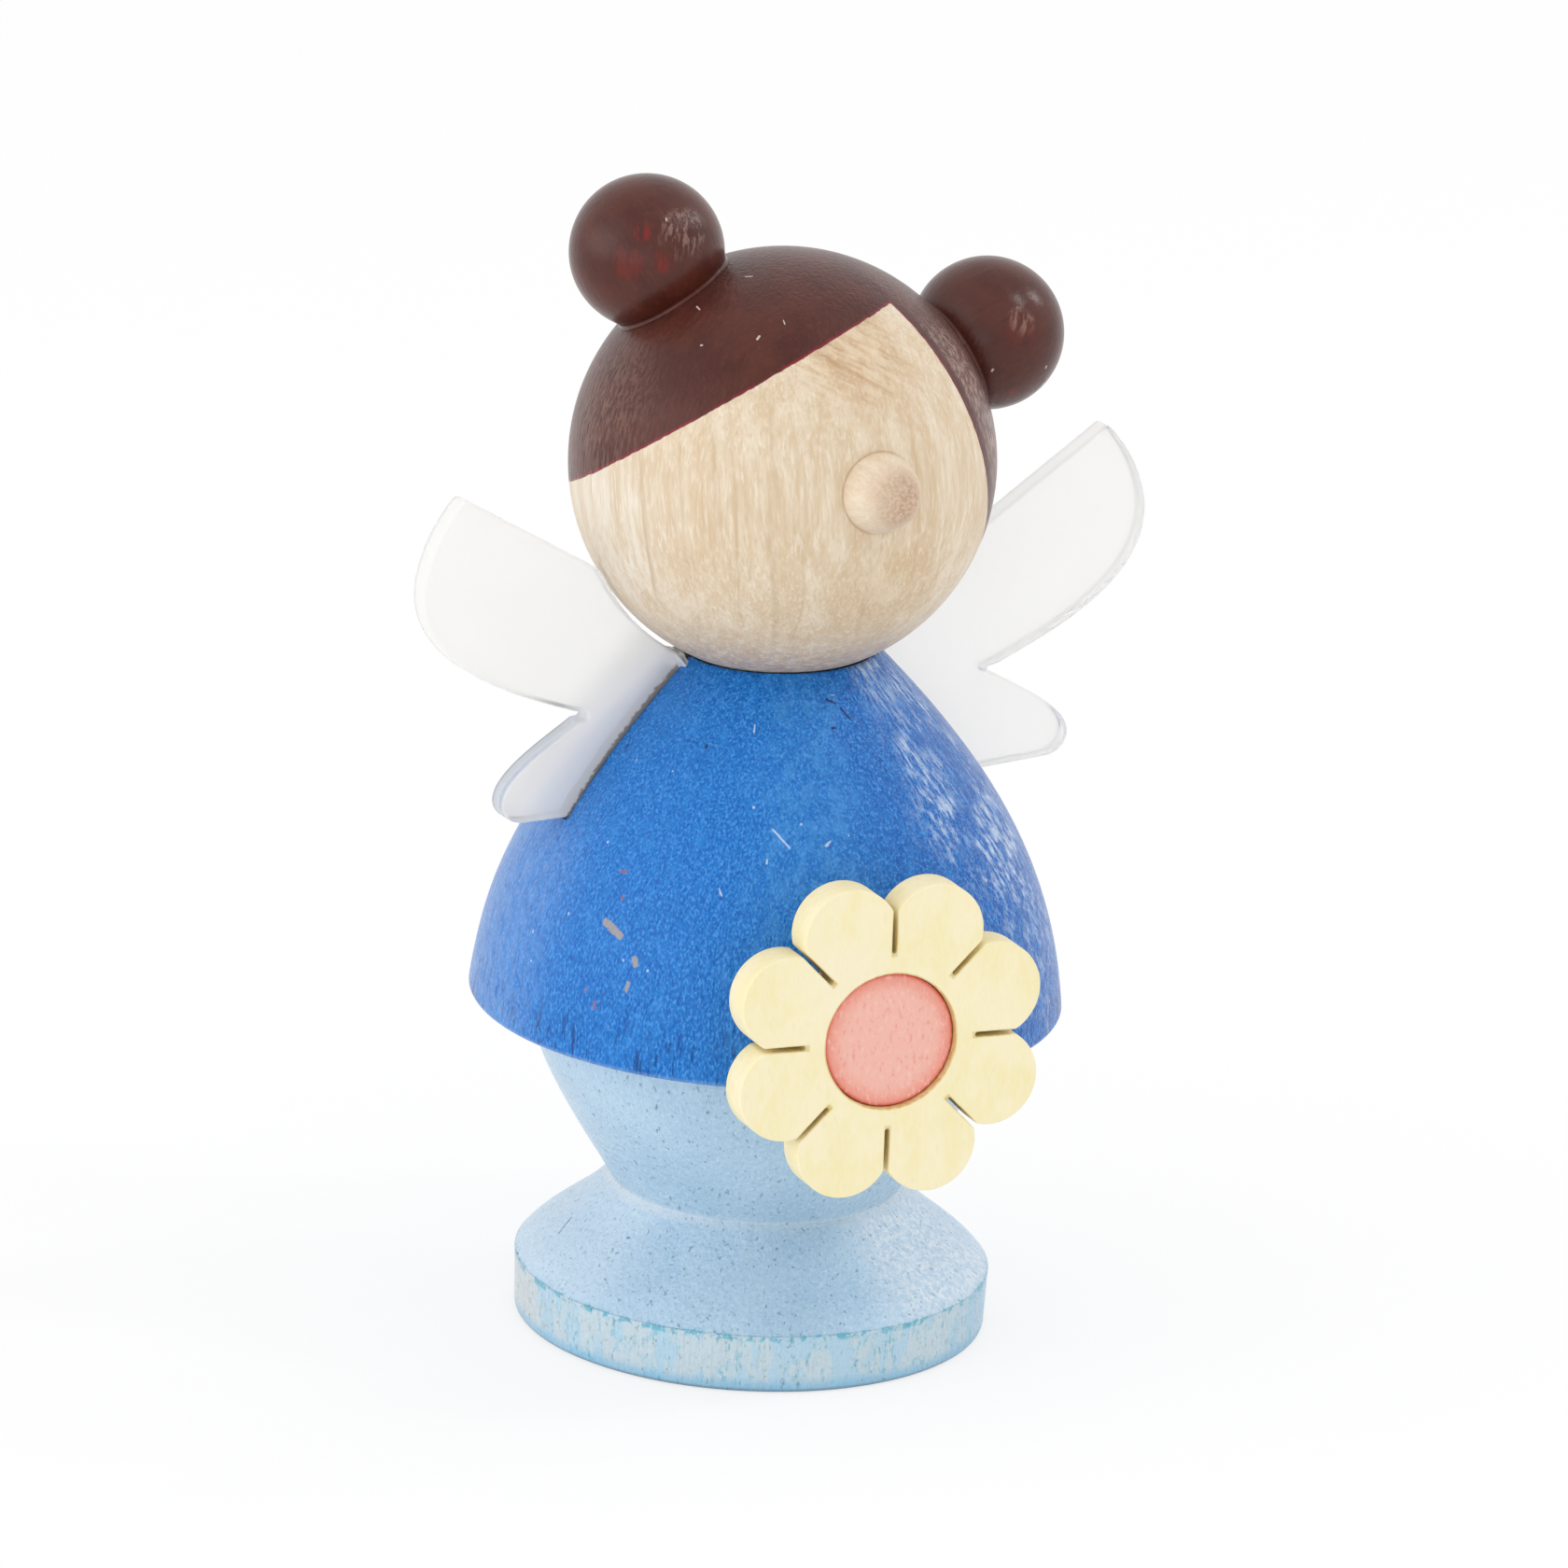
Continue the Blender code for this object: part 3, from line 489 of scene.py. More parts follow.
class Look(Graph):
    """A node material. Texture coordinates are the object's own, in millimetres."""

    def __init__(self, name, roughness, **values):
        self.material = bpy.data.materials.new(name)
        self.material.use_nodes = True
        super().__init__(self.material.node_tree)
        self.shader = self.tree.nodes["Principled BSDF"]
        self.shader.inputs["Roughness"].default_value = roughness
        for key, value in values.items():
            self.shader.inputs[key.replace("_", " ")].default_value = value
        self.place = self.node("TexCoord").outputs["Object"]

    def mm(self, stretch=(1, 1, 1), turn=(0, 0, 0), shift=(0, 0, 0)):
        """Millimetres from the shift point, turned, then scaled along each turned axis."""
        links = {
            "Vector": self.place,
            "Scale": tuple(MM / share for share in stretch),
            "Rotation": tuple(math.radians(angle) for angle in turn),
            "Location": tuple(MM * part for part in shift),
        }
        return self.node("Mapping", links, vector_type="TEXTURE").outputs["Vector"]

    def noise(self, vector, scale, detail, roughness=0.5):
        links = {"Vector": vector, "Scale": scale, "Detail": detail, "Roughness": roughness}
        return self.node("TexNoise", links).outputs["Fac"]

    def streaks(self, share, scale, detail, roughness=0.5, turn=(0, 0, 0), shift=(0, 0, 0)):
        """Noise drawn out along the turned Z axis, of which only a share counts."""
        return self.noise(self.mm((1, 1, share), turn, shift), scale, detail, roughness)

    def spots(self, vector, scale):
        return self.node("TexVoronoi", {"Vector": vector, "Scale": scale}).outputs["Distance"]

    def off(self, value, middle):
        """How far a value lies from the middle, on either side."""
        return self.math("ABSOLUTE", self.math("SUBTRACT", value, middle))

    def swayed(self, value, share, amount):
        """The value moved by the amount times a noise's share about one half."""
        return self.math("MULTIPLY_ADD", self.math("SUBTRACT", share, 0.5), amount, value)

    def length(self, first, second):
        return self.math("SQRT", self.math("ADD", self.times(first, first), self.times(second, second)))

    def around(self, x, y):
        """Angle round the Z axis in radians, 0 at the figure's front and growing towards +X."""
        return self.math("ARCTAN2", x, self.times(y, -1.0))

    def smooth(self, value, low, high, start=0.0, end=1.0):
        links = {"Value": value, "From Min": low, "From Max": high, "To Min": start, "To Max": end}
        return self.node("MapRange", links, interpolation_type="SMOOTHSTEP").outputs[0]

    def band(self, value, low, full, high, still_full):
        """1 between full and still_full, fading to 0 at low and at high."""
        return self.times(self.smooth(value, low, full), self.smooth(value, high, still_full))

    def mix(self, share, first, second, blend="MIX"):
        made = self.node("Mix", data_type="RGBA", blend_type=blend)
        for socket, value in ((made.inputs[0], share), (made.inputs[6], first), (made.inputs[7], second)):
            self.put(socket, (*value, 1.0) if isinstance(value, tuple) else value)
        return made.outputs[2]

    def tint(self, base, share, amount, colour):
        """Lays the colour over the base by the share times the amount."""
        return self.mix(self.times(share, amount), base, colour)

    def shade(self, base, value, low, high, amount, colour):
        """Lays the colour over the base, from nothing at low to the amount at high."""
        return self.mix(self.smooth(value, low, high, 0.0, amount), base, colour)

    def axis(self, vector):
        return self.node("SeparateXYZ", {0: vector}).outputs

    def vector(self, operation, first, second, output="Vector"):
        links = {0: first, 1: second if isinstance(second, bpy.types.NodeSocket) else tuple(second)}
        return self.node("VectorMath", links, operation=operation).outputs[output]

    def distance(self, vector, point):
        return self.vector("DISTANCE", vector, point, "Value")

    def dot(self, vector, direction):
        return self.vector("DOT_PRODUCT", vector, direction, "Value")

    def ragged(self, gap, amount, scale=3.0):
        """Makes the edge of a mark uneven."""
        return self.swayed(gap, self.noise(self.mm(), scale, 3), amount)

    def near(self, at, point, size, uneven=0.0):
        """1 at a point, fading to 0 at the size."""
        gap = self.distance(at, point)
        if uneven:
            gap = self.ragged(gap, uneven)
        return self.smooth(gap, size, size * 0.3)

    def stroke(self, at, start, end, width, uneven):
        """1 along a short mark between two points, 0 off it."""
        start, end = Vector(start), Vector(end)
        along = end - start
        offset = self.vector("SUBTRACT", at, start)
        share = self.dot(offset, along / along.length_squared)
        share = self.node("Clamp", {"Value": share}).outputs[0]
        nearest = self.node("VectorMath", {0: tuple(along), "Scale": share}, operation="SCALE")
        gap = self.ragged(self.distance(offset, nearest.outputs["Vector"]), uneven, 6.0)
        return self.smooth(gap, width * 0.6, width * 0.35)

    def strokes(self, at, marks, uneven):
        total = None
        for start, end, width in marks:
            mark = self.stroke(at, start, end, width, uneven)
            total = mark if total is None else self.math("MAXIMUM", total, mark)
        return total

    def colour(self, value):
        self.put(self.shader.inputs["Base Color"], value)

    def rough(self, value):
        self.put(self.shader.inputs["Roughness"], value)

    def bump(self, height, depth):
        """Depth is in millimetres for a height of 1."""
        links = {"Height": height, "Strength": 1.0, "Distance": depth * MM}
        self.put(self.shader.inputs["Normal"], self.node("Bump", links).outputs["Normal"])

    def add(self, *parts):
        """A weighted sum of (value, weight) pairs."""
        total = 0.0
        for value, weight in parts:
            total = self.math("MULTIPLY_ADD", value, weight, total)
        return total


# Marks on the paint: start, end and width in millimetres
CHIPS = (
    ((-12.5, -5.45, 24.4), (-12.2, -6.45, 23.95), 0.42),
    ((-11.95, -7.6, 23.1), (-11.93, -7.75, 22.75), 0.3),
    ((-12.3, -7.75, 21.8), (-12.35, -7.7, 21.4), 0.26),
)
RED_CHIPS = (
    ((-13.45, -6.4, 20.5), (-13.46, -6.45, 20.2), 0.22),
    ((-13.58, -5.73, 21.1), (-13.6, -5.7, 20.9), 0.18),
    ((-11.74, -5.7, 25.7), (-11.75, -5.75, 25.62), 0.2),
    ((-11.5, -4.9, 26.8), (-11.3, -5.2, 26.8), 0.2),
)
DARK_MARKS = (
    ((-0.7, -6.0, 35.05), (-0.35, -6.2, 34.9), 0.16),
    ((-0.1, -6.45, 34.65), (0.2, -6.82, 34.23), 0.14),
    ((-0.95, -7.1, 33.9), (-0.7, -7.1, 33.85), 0.13),
    ((-6.71, -4.58, 32.85), (-6.75, -4.6, 32.7), 0.16),
    ((-8.94, -0.32, 31.9), (-8.95, -0.35, 31.7), 0.16),
    ((1.3, -8.74, 32.1), (1.34, -8.76, 31.85), 0.13),
)
SCUFFS = (
    ((-5.28, -9.26, 29.65), (-4.74, -10.11, 28.85), 0.11),
    ((-4.5, -5.5, 33.95), (-4.65, -5.7, 33.65), 0.1),
    ((-8.25, -9.3, 26.95), (-8.15, -9.55, 26.5), 0.1),
    ((-5.9, -9.95, 28.35), (-5.95, -10.0, 28.1), 0.1),
    ((-9.09, -1.6, 31.6), (-9.1, -1.7, 31.4), 0.08),
    ((-11.29, 0.5, 28.8), (-11.29, 0.5, 28.6), 0.1),
    ((-8.3, -4.05, 31.6), (-8.3, -4.05, 31.4), 0.08),
    ((-14.23, -0.98, 22.85), (-14.23, -0.98, 22.6), 0.1),
    ((-2.97, -10.69, 28.95), (-2.7, -10.69, 29.2), 0.16),
    ((-0.9, -5.84, 35.3), (-0.2, -5.9, 35.2), 0.08),
)
FOOT_MARKS = (
    ((-10.25, 2.2, 4.8), (-9.35, 2.6, 5.4), 0.12),
    ((-8.75, -2.4, 5.95), (-8.65, -2.5, 5.92), 0.14),
)
RIM_CRACK = (
    ((-11.49, 4.23, 3.15), (-12.0, 2.3, 3.12), 0.1),
    ((-12.0, 2.3, 3.12), (-12.25, 0.36, 3.05), 0.13),
)


def dress_look():
    look = Look("dress_paint", 0.25, Specular_IOR_Level=0.27)
    at = look.mm()
    x, y, z = look.axis(at)
    # Painted shade: the blue is painted lighter towards -X and darker towards +X, as the light falls, swayed
    # by a broad noise.
    broad = look.noise(look.mm(shift=(3, 0, 9)), 0.13, 2)
    lean = look.swayed(x, broad, 8.0)
    blue = look.mix(look.smooth(lean, -7.0, 7.0), (0.003, 0.162, 0.55), (0.006, 0.115, 0.44))
    grain = look.streaks(0.5, 8.5, 3, 0.55)
    blue = look.shade(blue, grain, 0.51, 0.64, 0.85, (0.06, 0.29, 0.74))
    blue = look.shade(blue, grain, 0.48, 0.35, 0.8, (0.002, 0.08, 0.38))
    wisps = look.streaks(0.3, 1.3, 4, 0.6, shift=(7, 7, 2))
    blue = look.shade(blue, wisps, 0.5, 0.7, 0.35, (0.03, 0.25, 0.70))
    near_hem = look.smooth(z, HEM_Z / MM + 4.2, HEM_Z / MM + 0.5)
    splits = look.smooth(look.streaks(0.13, 3.4, 3, shift=(3, 7, 1)), 0.60, 0.66)
    splits = look.times(splits, near_hem)
    blue = look.tint(blue, splits, 0.8, (0.002, 0.04, 0.22))
    blue = look.shade(blue, z, HEM_Z / MM + 0.32, HEM_Z / MM + 0.1, 0.35, (0.25, 0.42, 0.72))
    around = look.around(x, y)
    # Painted highlight: a lighter upright band just left of the dress's front, where a sheen lies.
    painted_sheen_band = look.band(around, -0.75, -0.4, 0.05, -0.2)
    blue = look.mix(look.times(painted_sheen_band, look.smooth(wisps, 0.42, 0.62, 0.1, 0.4)), blue, (0.08, 0.32, 0.68))
    # Painted highlight: pale streaks on the right side of the dress, fullest at three spots near the neck and
    # shoulder, standing in for a broken-up sheen.
    painted_sheen_streaks = look.band(around, 0.12, 0.45, 1.25, 0.85)
    painted_sheen_streaks = look.times(painted_sheen_streaks, look.smooth(z, 20.0, 27.0, 0.45, 1.0))
    patchy = look.smooth(look.streaks(0.5, 0.36, 3, turn=(0, 15, 0), shift=(9, 3, 3)), 0.42, 0.58, 0.2, 1.0)
    along = look.node("CombineXYZ", {
        "X": look.math("MULTIPLY_ADD", around, 9.0, look.times(z, 0.18)),
        "Y": look.times(z, 0.3),
    }).outputs[0]
    hairs = look.noise(along, 3.4, 5, 0.7)
    bright = 0.0
    for point, size in (((2.2, -5.2, 35.2), 3.0), ((4.2, -8.0, 31.0), 2.6), ((8.3, -7.5, 27.0), 3.5)):
        bright = look.math("MAXIMUM", look.near(at, point, size), bright)
    patchy = look.math("MAXIMUM", patchy, look.times(bright, 0.6))
    hairs = look.math("MULTIPLY_ADD", bright, 0.03, hairs)
    painted_sheen_streaks = look.times(painted_sheen_streaks, patchy, look.smooth(hairs, 0.45, 0.64))
    blue = look.tint(blue, painted_sheen_streaks, 0.82, (0.60, 0.72, 0.88))
    # Painted reflection: a pale streaky sheen on the dress's left flank, low down.
    painted_flank_sheen = look.band(around, -1.25, -1.6, -2.3, -1.9)
    painted_flank_sheen = look.times(painted_flank_sheen, look.smooth(hairs, 0.36, 0.62, 0.3, 1.0), look.smooth(z, 31.0, 25.0))
    blue = look.tint(blue, painted_flank_sheen, 0.26, (0.36, 0.55, 0.88))
    kerf = look.smooth(look.off(y, WING_SETBACK / MM), 0.95, 0.85)
    kerf = look.times(kerf, look.smooth(dress_gap(look, x, y, z), -0.1, -0.35))
    blue = look.mix(kerf, blue, (0.80, 0.79, 0.80))
    blue = look.mix(look.strokes(at, CHIPS, 0.3), blue, (0.33, 0.31, 0.33))
    blue = look.tint(blue, look.strokes(at, RED_CHIPS, 0.25), 0.7, (0.26, 0.12, 0.17))
    blue = look.tint(blue, look.strokes(at, DARK_MARKS, 0.12), 0.9, (0.012, 0.015, 0.09))
    scuffs = look.strokes(at, SCUFFS, 0.08)
    specks = look.smooth(look.spots(look.mm((1, 1, 0.8)), 0.6), 0.05, 0.035)
    blue = look.tint(blue, look.math("MAXIMUM", scuffs, specks), 0.6, (0.68, 0.76, 0.88))
    look.colour(blue)
    sweep = look.math("SUBTRACT", x, 5.4)
    curve = look.math("MULTIPLY_ADD", look.times(sweep, sweep), 0.2, z)
    groove = look.smooth(look.off(curve, 30.4), 0.12, 0.03)
    groove = look.times(groove, look.smooth(look.off(x, 6.7), 2.0, 1.5))
    scratch = look.smooth(look.off(look.math("MULTIPLY_ADD", x, 0.06, z), 32.45), 0.09, 0.02)
    scratch = look.times(scratch, look.smooth(look.noise(at, 0.6, 2), 0.4, 0.55))
    peel = look.streaks(0.6, 3.0, 3, 0.6, shift=(2, 2, 2))
    brushed = look.streaks(0.3, 2.2, 3, 0.55, turn=(0, 24, 0), shift=(4, 1, 2))
    height = look.add(
        (peel, 1.0), (brushed, 0.9), (grain, 0.25), (splits, -0.4), (groove, -0.3), (scratch, -0.2))
    look.rough(look.smooth(grain, 0.3, 0.7, 0.15, 0.25))
    look.bump(height, 0.14)
    return look.material


def skirt_look():
    look = Look("skirt_paint", 0.3, Specular_IOR_Level=0.4)
    at = look.mm()
    x, y, z = look.axis(at)
    broad = look.noise(at, 0.15, 2)
    blue = look.mix(look.smooth(broad, 0.38, 0.62), (0.40, 0.575, 0.73), (0.455, 0.625, 0.77))
    grain = look.streaks(0.55, 6.0, 4, 0.6)
    blue = look.shade(blue, grain, 0.5, 0.64, 0.35, (0.56, 0.73, 0.87))
    blue = look.shade(blue, grain, 0.48, 0.36, 0.35, (0.29, 0.50, 0.72))
    pores = look.smooth(look.streaks(0.5, 4.6, 4, 0.65, shift=(2, 8, 5)), 0.63, 0.69)
    blue = look.tint(blue, pores, 0.6, (0.14, 0.38, 0.62))
    slope = look.band(z, 2.8, 3.6, 8.0, 6.8)
    around = look.around(x, y)
    # Painted highlight: pale streaks on the right of the foot's slope, standing in for a sheen.
    painted_sheen_streaks = look.times(look.band(around, 0.0, 0.4, 1.4, 0.9), slope)
    hairs = look.streaks(0.8, 3.4, 4, 0.6, shift=(6, 2, 8))
    blue = look.mix(look.times(painted_sheen_streaks, look.smooth(hairs, 0.40, 0.62, 0.15, 0.75)), blue, (0.80, 0.85, 0.89))
    # Painted light: the left of the foot's slope is painted paler, on its lit side.
    pale = look.times(look.band(around, -0.9, -1.5, -2.6, -2.0), slope)
    blue = look.tint(blue, pale, 0.35, (0.72, 0.80, 0.86))
    # A pale line at the waist: partly wear, partly a painted highlight on the small fillet, stronger towards
    # the back.
    crease = look.smooth(look.off(z, WAIST_Z / MM - 0.1), 0.45, 0.05)
    crease = look.times(crease, look.smooth(y, 2.0, -9.0, 0.8, 0.25))
    blue = look.mix(crease, blue, (0.62, 0.70, 0.76))
    turned = look.noise(look.mm((0.1, 0.1, 1.0), shift=(4, 4, 4)), 3.5, 2)
    rim = look.smooth(z, 3.16, 3.06)
    patches = look.streaks(0.4, 0.85, 5, 0.68, shift=(5, 1, 1))
    worn = look.smooth(patches, 0.43, 0.51)
    rim_colour = look.mix(worn, (0.44, 0.63, 0.76), (0.54, 0.65, 0.71))
    edges = look.smooth(look.off(patches, 0.475), 0.035, 0.005)
    teal = look.smooth(look.noise(look.mm((1.2, 1.2, 0.5), shift=(1, 1, 7)), 2.2, 5, 0.7), 0.47, 0.60)
    rim_colour = look.tint(rim_colour, look.times(edges, teal), 0.6, (0.14, 0.46, 0.58))
    flecks = look.streaks(0.3, 3.0, 4, 0.65, shift=(1, 6, 7))
    rim_colour = look.shade(rim_colour, flecks, 0.62, 0.70, 0.6, (0.08, 0.38, 0.48))
    # Painted shade: the rim is painted darker towards +X, away from the light.
    rim_colour = look.shade(rim_colour, x, 4.0, 10.0, 0.5, (0.26, 0.50, 0.68))
    rim_colour = look.shade(rim_colour, y, -2.0, 3.5, 0.6, (0.60, 0.62, 0.62))
    rim_colour = look.shade(rim_colour, z, 0.95, 0.25, 0.7, (0.20, 0.48, 0.70))
    # Painted shade: the rim's lowest edge, where it meets the floor, is painted dark.
    rim_colour = look.shade(rim_colour, z, 0.32, 0.05, 0.8, (0.10, 0.20, 0.30))
    band = look.smooth(look.off(z, 3.0), 0.28, 0.04)
    dots = look.smooth(look.noise(look.mm(shift=(0, 3, 7)), 1.9, 4, 0.65), 0.47, 0.56)
    blue = look.mix(rim, blue, rim_colour)
    blue = look.tint(blue, look.times(band, dots), 0.85, (0.09, 0.42, 0.55))
    blue = look.tint(blue, look.strokes(at, FOOT_MARKS, 0.06), 0.8, (0.05, 0.22, 0.42))
    crack = look.strokes(at, RIM_CRACK, 0.08)
    blue = look.tint(blue, crack, 0.85, (0.12, 0.13, 0.16))
    look.colour(blue)
    peel = look.streaks(0.8, 2.6, 3, 0.55, shift=(7, 7, 7))
    ridges = look.times(look.streaks(0.06, 4.0, 2, shift=(1, 7, 7)), rim)
    height = look.add((peel, 1.0), (grain, 0.3), (pores, -0.4), (turned, 0.25), (ridges, 1.0), (crack, -1.0))
    look.rough(look.smooth(grain, 0.3, 0.7, 0.18, 0.28))
    look.bump(height, 0.12)
    return look.material


# Which way the fibres run on the head and the brush streaks on the buns, in degrees
GRAIN_TURN = (0, -20.5, 0)
BUN_TURN = (-43, 0, 0)
# Brown growth lines on the face: place across the grain, half width, lower and upper end, strength
GROWTH_LINES = (
    (-0.82, 0.022, -6.0, 3.5, 0.6),
    (-0.62, 0.012, -9.0, 4.0, 0.22),
    (-0.50, 0.026, -3.0, 5.0, 0.3),
    (-0.42, 0.010, -8.0, 6.0, 0.28),
    (-0.30, 0.024, -9.0, 6.0, 0.28),
    (-0.22, 0.008, -9.0, 1.0, 0.3),
    (-0.05, 0.020, -9.0, 3.0, 0.22),
    (0.12, 0.009, -6.0, 6.0, 0.28),
    (0.22, 0.008, -7.0, 6.0, 0.25),
)


def wood_colours(look, turn):
    """Pale close-grained wood with its fibres along the turned Z axis."""
    x, y, z = look.axis(look.mm(turn=turn))
    bend = look.streaks(0.25, 0.22, 2, turn=turn)
    across = look.math("DIVIDE", x, look.math("SUBTRACT", 8.0, y))
    across = look.swayed(across, bend, 0.14)
    fade = look.streaks(0.1, 0.7, 3, turn=turn, shift=(3, 1, 2))
    wave = look.math("SINE", look.times(across, 46.0))
    lines = look.times(look.smooth(wave, 0.2, 1.0), look.smooth(fade, 0.45, 0.65))
    fine = look.streaks(0.11, 2.6, 4, 0.6, turn=turn)
    wood = look.mix(look.smooth(fine, 0.36, 0.64), (0.67, 0.53, 0.365), (0.73, 0.61, 0.45))
    bands = look.streaks(0.1, 0.95, 3, 0.55, turn=turn, shift=(8, 2, 5))
    wood = look.shade(wood, bands, 0.50, 0.64, 0.45, (0.64, 0.475, 0.31))
    wood = look.shade(wood, bands, 0.50, 0.36, 0.5, (0.80, 0.70, 0.56))
    wood = look.tint(wood, lines, 0.25, (0.62, 0.46, 0.30))
    flecks = look.streaks(0.13, 4.2, 2, turn=turn, shift=(5, 5, 1))
    wood = look.shade(wood, flecks, 0.58, 0.70, 0.45, (0.84, 0.755, 0.63))
    dashes = look.streaks(0.10, 3.8, 2, turn=turn, shift=(1, 5, 4))
    wood = look.shade(wood, dashes, 0.60, 0.72, 0.35, (0.57, 0.40, 0.25))
    threads = look.streaks(0.1, 8.0, 3, 0.6, turn=turn, shift=(4, 9, 2))
    wood = look.shade(wood, threads, 0.54, 0.64, 0.4, (0.84, 0.755, 0.63))
    wood = look.shade(wood, threads, 0.46, 0.36, 0.35, (0.60, 0.44, 0.29))
    return wood, flecks, across, z, fade


def head_look():
    look = Look("bare_maple", 0.42, Specular_IOR_Level=0.25, Sheen_Weight=0.08, Sheen_Roughness=0.4)
    at = look.mm()
    wood, flecks, across, along, fade = wood_colours(look, GRAIN_TURN)
    for place, half, low, high, amount in GROWTH_LINES:
        offset = look.math("SUBTRACT", across, place)
        line = look.band(offset, half * 1.5, 0.0, -half * 0.5, 0.0)
        line = look.times(line, look.smooth(fade, 0.3, 0.6, 0.35, 1.0))
        ends = look.band(along, low, low + 2.0, high, high - 2.0)
        wood = look.tint(wood, look.times(line, ends), amount, (0.47, 0.31, 0.17))
    figure = look.noise(look.mm((0.16, 0.16, 1.0), (0, 14, 0), (2, 2, 8)), 3.0, 3, 0.6)
    apex = look.times(look.smooth(look.distance(at, (-2.6, -8.2, 6.5)), 4.2, 1.5), 0.6)
    wood = look.mix(look.times(look.smooth(figure, 0.5, 0.66), apex), wood, (0.50, 0.33, 0.18))
    wood = look.mix(look.times(look.smooth(figure, 0.5, 0.38), apex), wood, (0.86, 0.76, 0.60))
    # Spots that tint the wood: darker and yellower near the top front, painted shade low at the front, and a
    # whiter painted sheen on the left side.
    for point, size, amount, factors in (
        ((-2.0, -8.6, 6.4), 4.5, 0.75, (0.86, 0.76, 0.66)),
        ((2.7, -9.3, -5.0), 4.5, 0.6, (0.93, 0.86, 0.76)),
        ((-9.6, -1.4, -5.0), 6.0, 0.8, (1.05, 1.12, 1.24)),
    ):
        wood = look.tint(wood, look.near(at, point, size), amount, look.mix(1.0, wood, factors, "MULTIPLY"))
    x, y, z = look.axis(at)
    from_nose = look.length(x, z)
    # A dark joint line round the nose, partly painted shade, strongest towards -X.
    nose_joint_shade = look.smooth(look.off(from_nose, NOSE_RADIUS / MM + 0.02), 0.14, 0.0)
    nose_joint_shade = look.times(nose_joint_shade, look.smooth(y, -8.0, -9.0), look.smooth(x, 1.2, -0.8, 0.1, 1.0))
    wood = look.tint(wood, nose_joint_shade, 0.5, (0.42, 0.27, 0.15))
    # Painted shade: the underside of the head is painted darker and greyer, broken up by a mottled noise.
    world_up = HEAD_TURNING.to_matrix().inverted() @ Vector((0, 0, 1))
    under_mottle = look.smooth(look.streaks(0.45, 3.0, 5, 0.75, turn=(0, 30, 0)), 0.42, 0.56)
    under_shade = look.times(look.smooth(look.dot(at, world_up), -6.0, -10.2), under_mottle)
    wood = look.tint(wood, under_shade, 0.8, (0.42, 0.31, 0.29))
    dips = [look.math("SUBTRACT", look.dot(at, normal), level) for normal, level in DIPS]
    depth = look.swayed(look.math("MAXIMUM", *dips), look.streaks(0.5, 3.0, 3), 0.13)
    paint = look.smooth(depth, -0.02, 0.03)
    brown, relief = hair_colours(look)
    rim = look.times(look.smooth(depth, 0.17, 0.06), look.smooth(look.noise(at, 0.9, 2), 0.3, 0.5))
    brown = look.tint(brown, rim, 0.9, (0.24, 0.008, 0.03))
    # Painted highlight: a pale streaky band just past the paint's edge on the right of the head.
    rub_and_sheen = look.times(
        look.band(dips[1], 0.35, 0.9, 3.6, 2.2),
        look.smooth(y, -2.0, -4.5),
        look.smooth(z, 1.0, 4.0, 0.5, 1.0),
        look.smooth(look.streaks(0.3, 4.2, 4, 0.65), 0.42, 0.62, 0.15, 0.8),
        look.smooth(z, 9.2, 7.6, 0.2, 1.0),
    )
    brown = look.mix(rub_and_sheen, brown, (0.43, 0.29, 0.25))
    # Painted highlight: paler ridges along the hair's left edge, standing in for a sheen.
    ridges = look.smooth(look.streaks(0.12, 5.0, 3, 0.6, turn=GRAIN_TURN, shift=(2, 2, 6)), 0.42, 0.62)
    hair_limb_sheen = look.times(look.smooth(x, -9.4, -11.6), ridges)
    brown = look.tint(brown, hair_limb_sheen, 0.35, (0.38, 0.24, 0.19))
    dust = look.strokes(at, (
        ((-6.1, -2.6, 8.65), (-5.85, -2.8, 8.75), 0.09),
        ((-8.3, -2.5, 6.6), (-8.28, -2.85, 6.5), 0.09),
        ((-6.6, -6.4, 5.85), (-6.5, -6.35, 6.0), 0.13),
        ((-8.62, -4.6, 4.83), (-8.6, -4.65, 4.86), 0.12),
        ((-5.4, -6.3, 7.1), (-5.35, -6.5, 6.9), 0.07),
    ), 0.04)
    brown = look.tint(brown, dust, 0.8, (0.62, 0.55, 0.50))
    look.colour(look.mix(paint, wood, brown))
    look.rough(look.smooth(paint, 0.0, 1.0, 0.42, 0.28))
    grooves = look.streaks(0.06, 4.0, 3, 0.6, turn=GRAIN_TURN)
    height = look.add((paint, 1.5), (flecks, 0.35), (grooves, 0.5), (look.times(relief, paint), 2.2))
    look.bump(height, 0.03)
    return look.material


def hair_colours(look):
    """Brown paint with lighter and darker brush streaks, and the streaks' height."""
    patch = look.noise(look.mm(shift=(1, 2, 3)), 0.45, 3)
    brown = look.mix(look.smooth(patch, 0.35, 0.65), (0.066, 0.0135, 0.0085), (0.09, 0.021, 0.013))
    relief = look.streaks(0.2, 4.0, 4, 0.62)
    brown = look.shade(brown, relief, 0.55, 0.70, 0.25, (0.14, 0.045, 0.032))
    brown = look.shade(brown, relief, 0.42, 0.32, 0.3, (0.035, 0.008, 0.005))
    return brown, relief


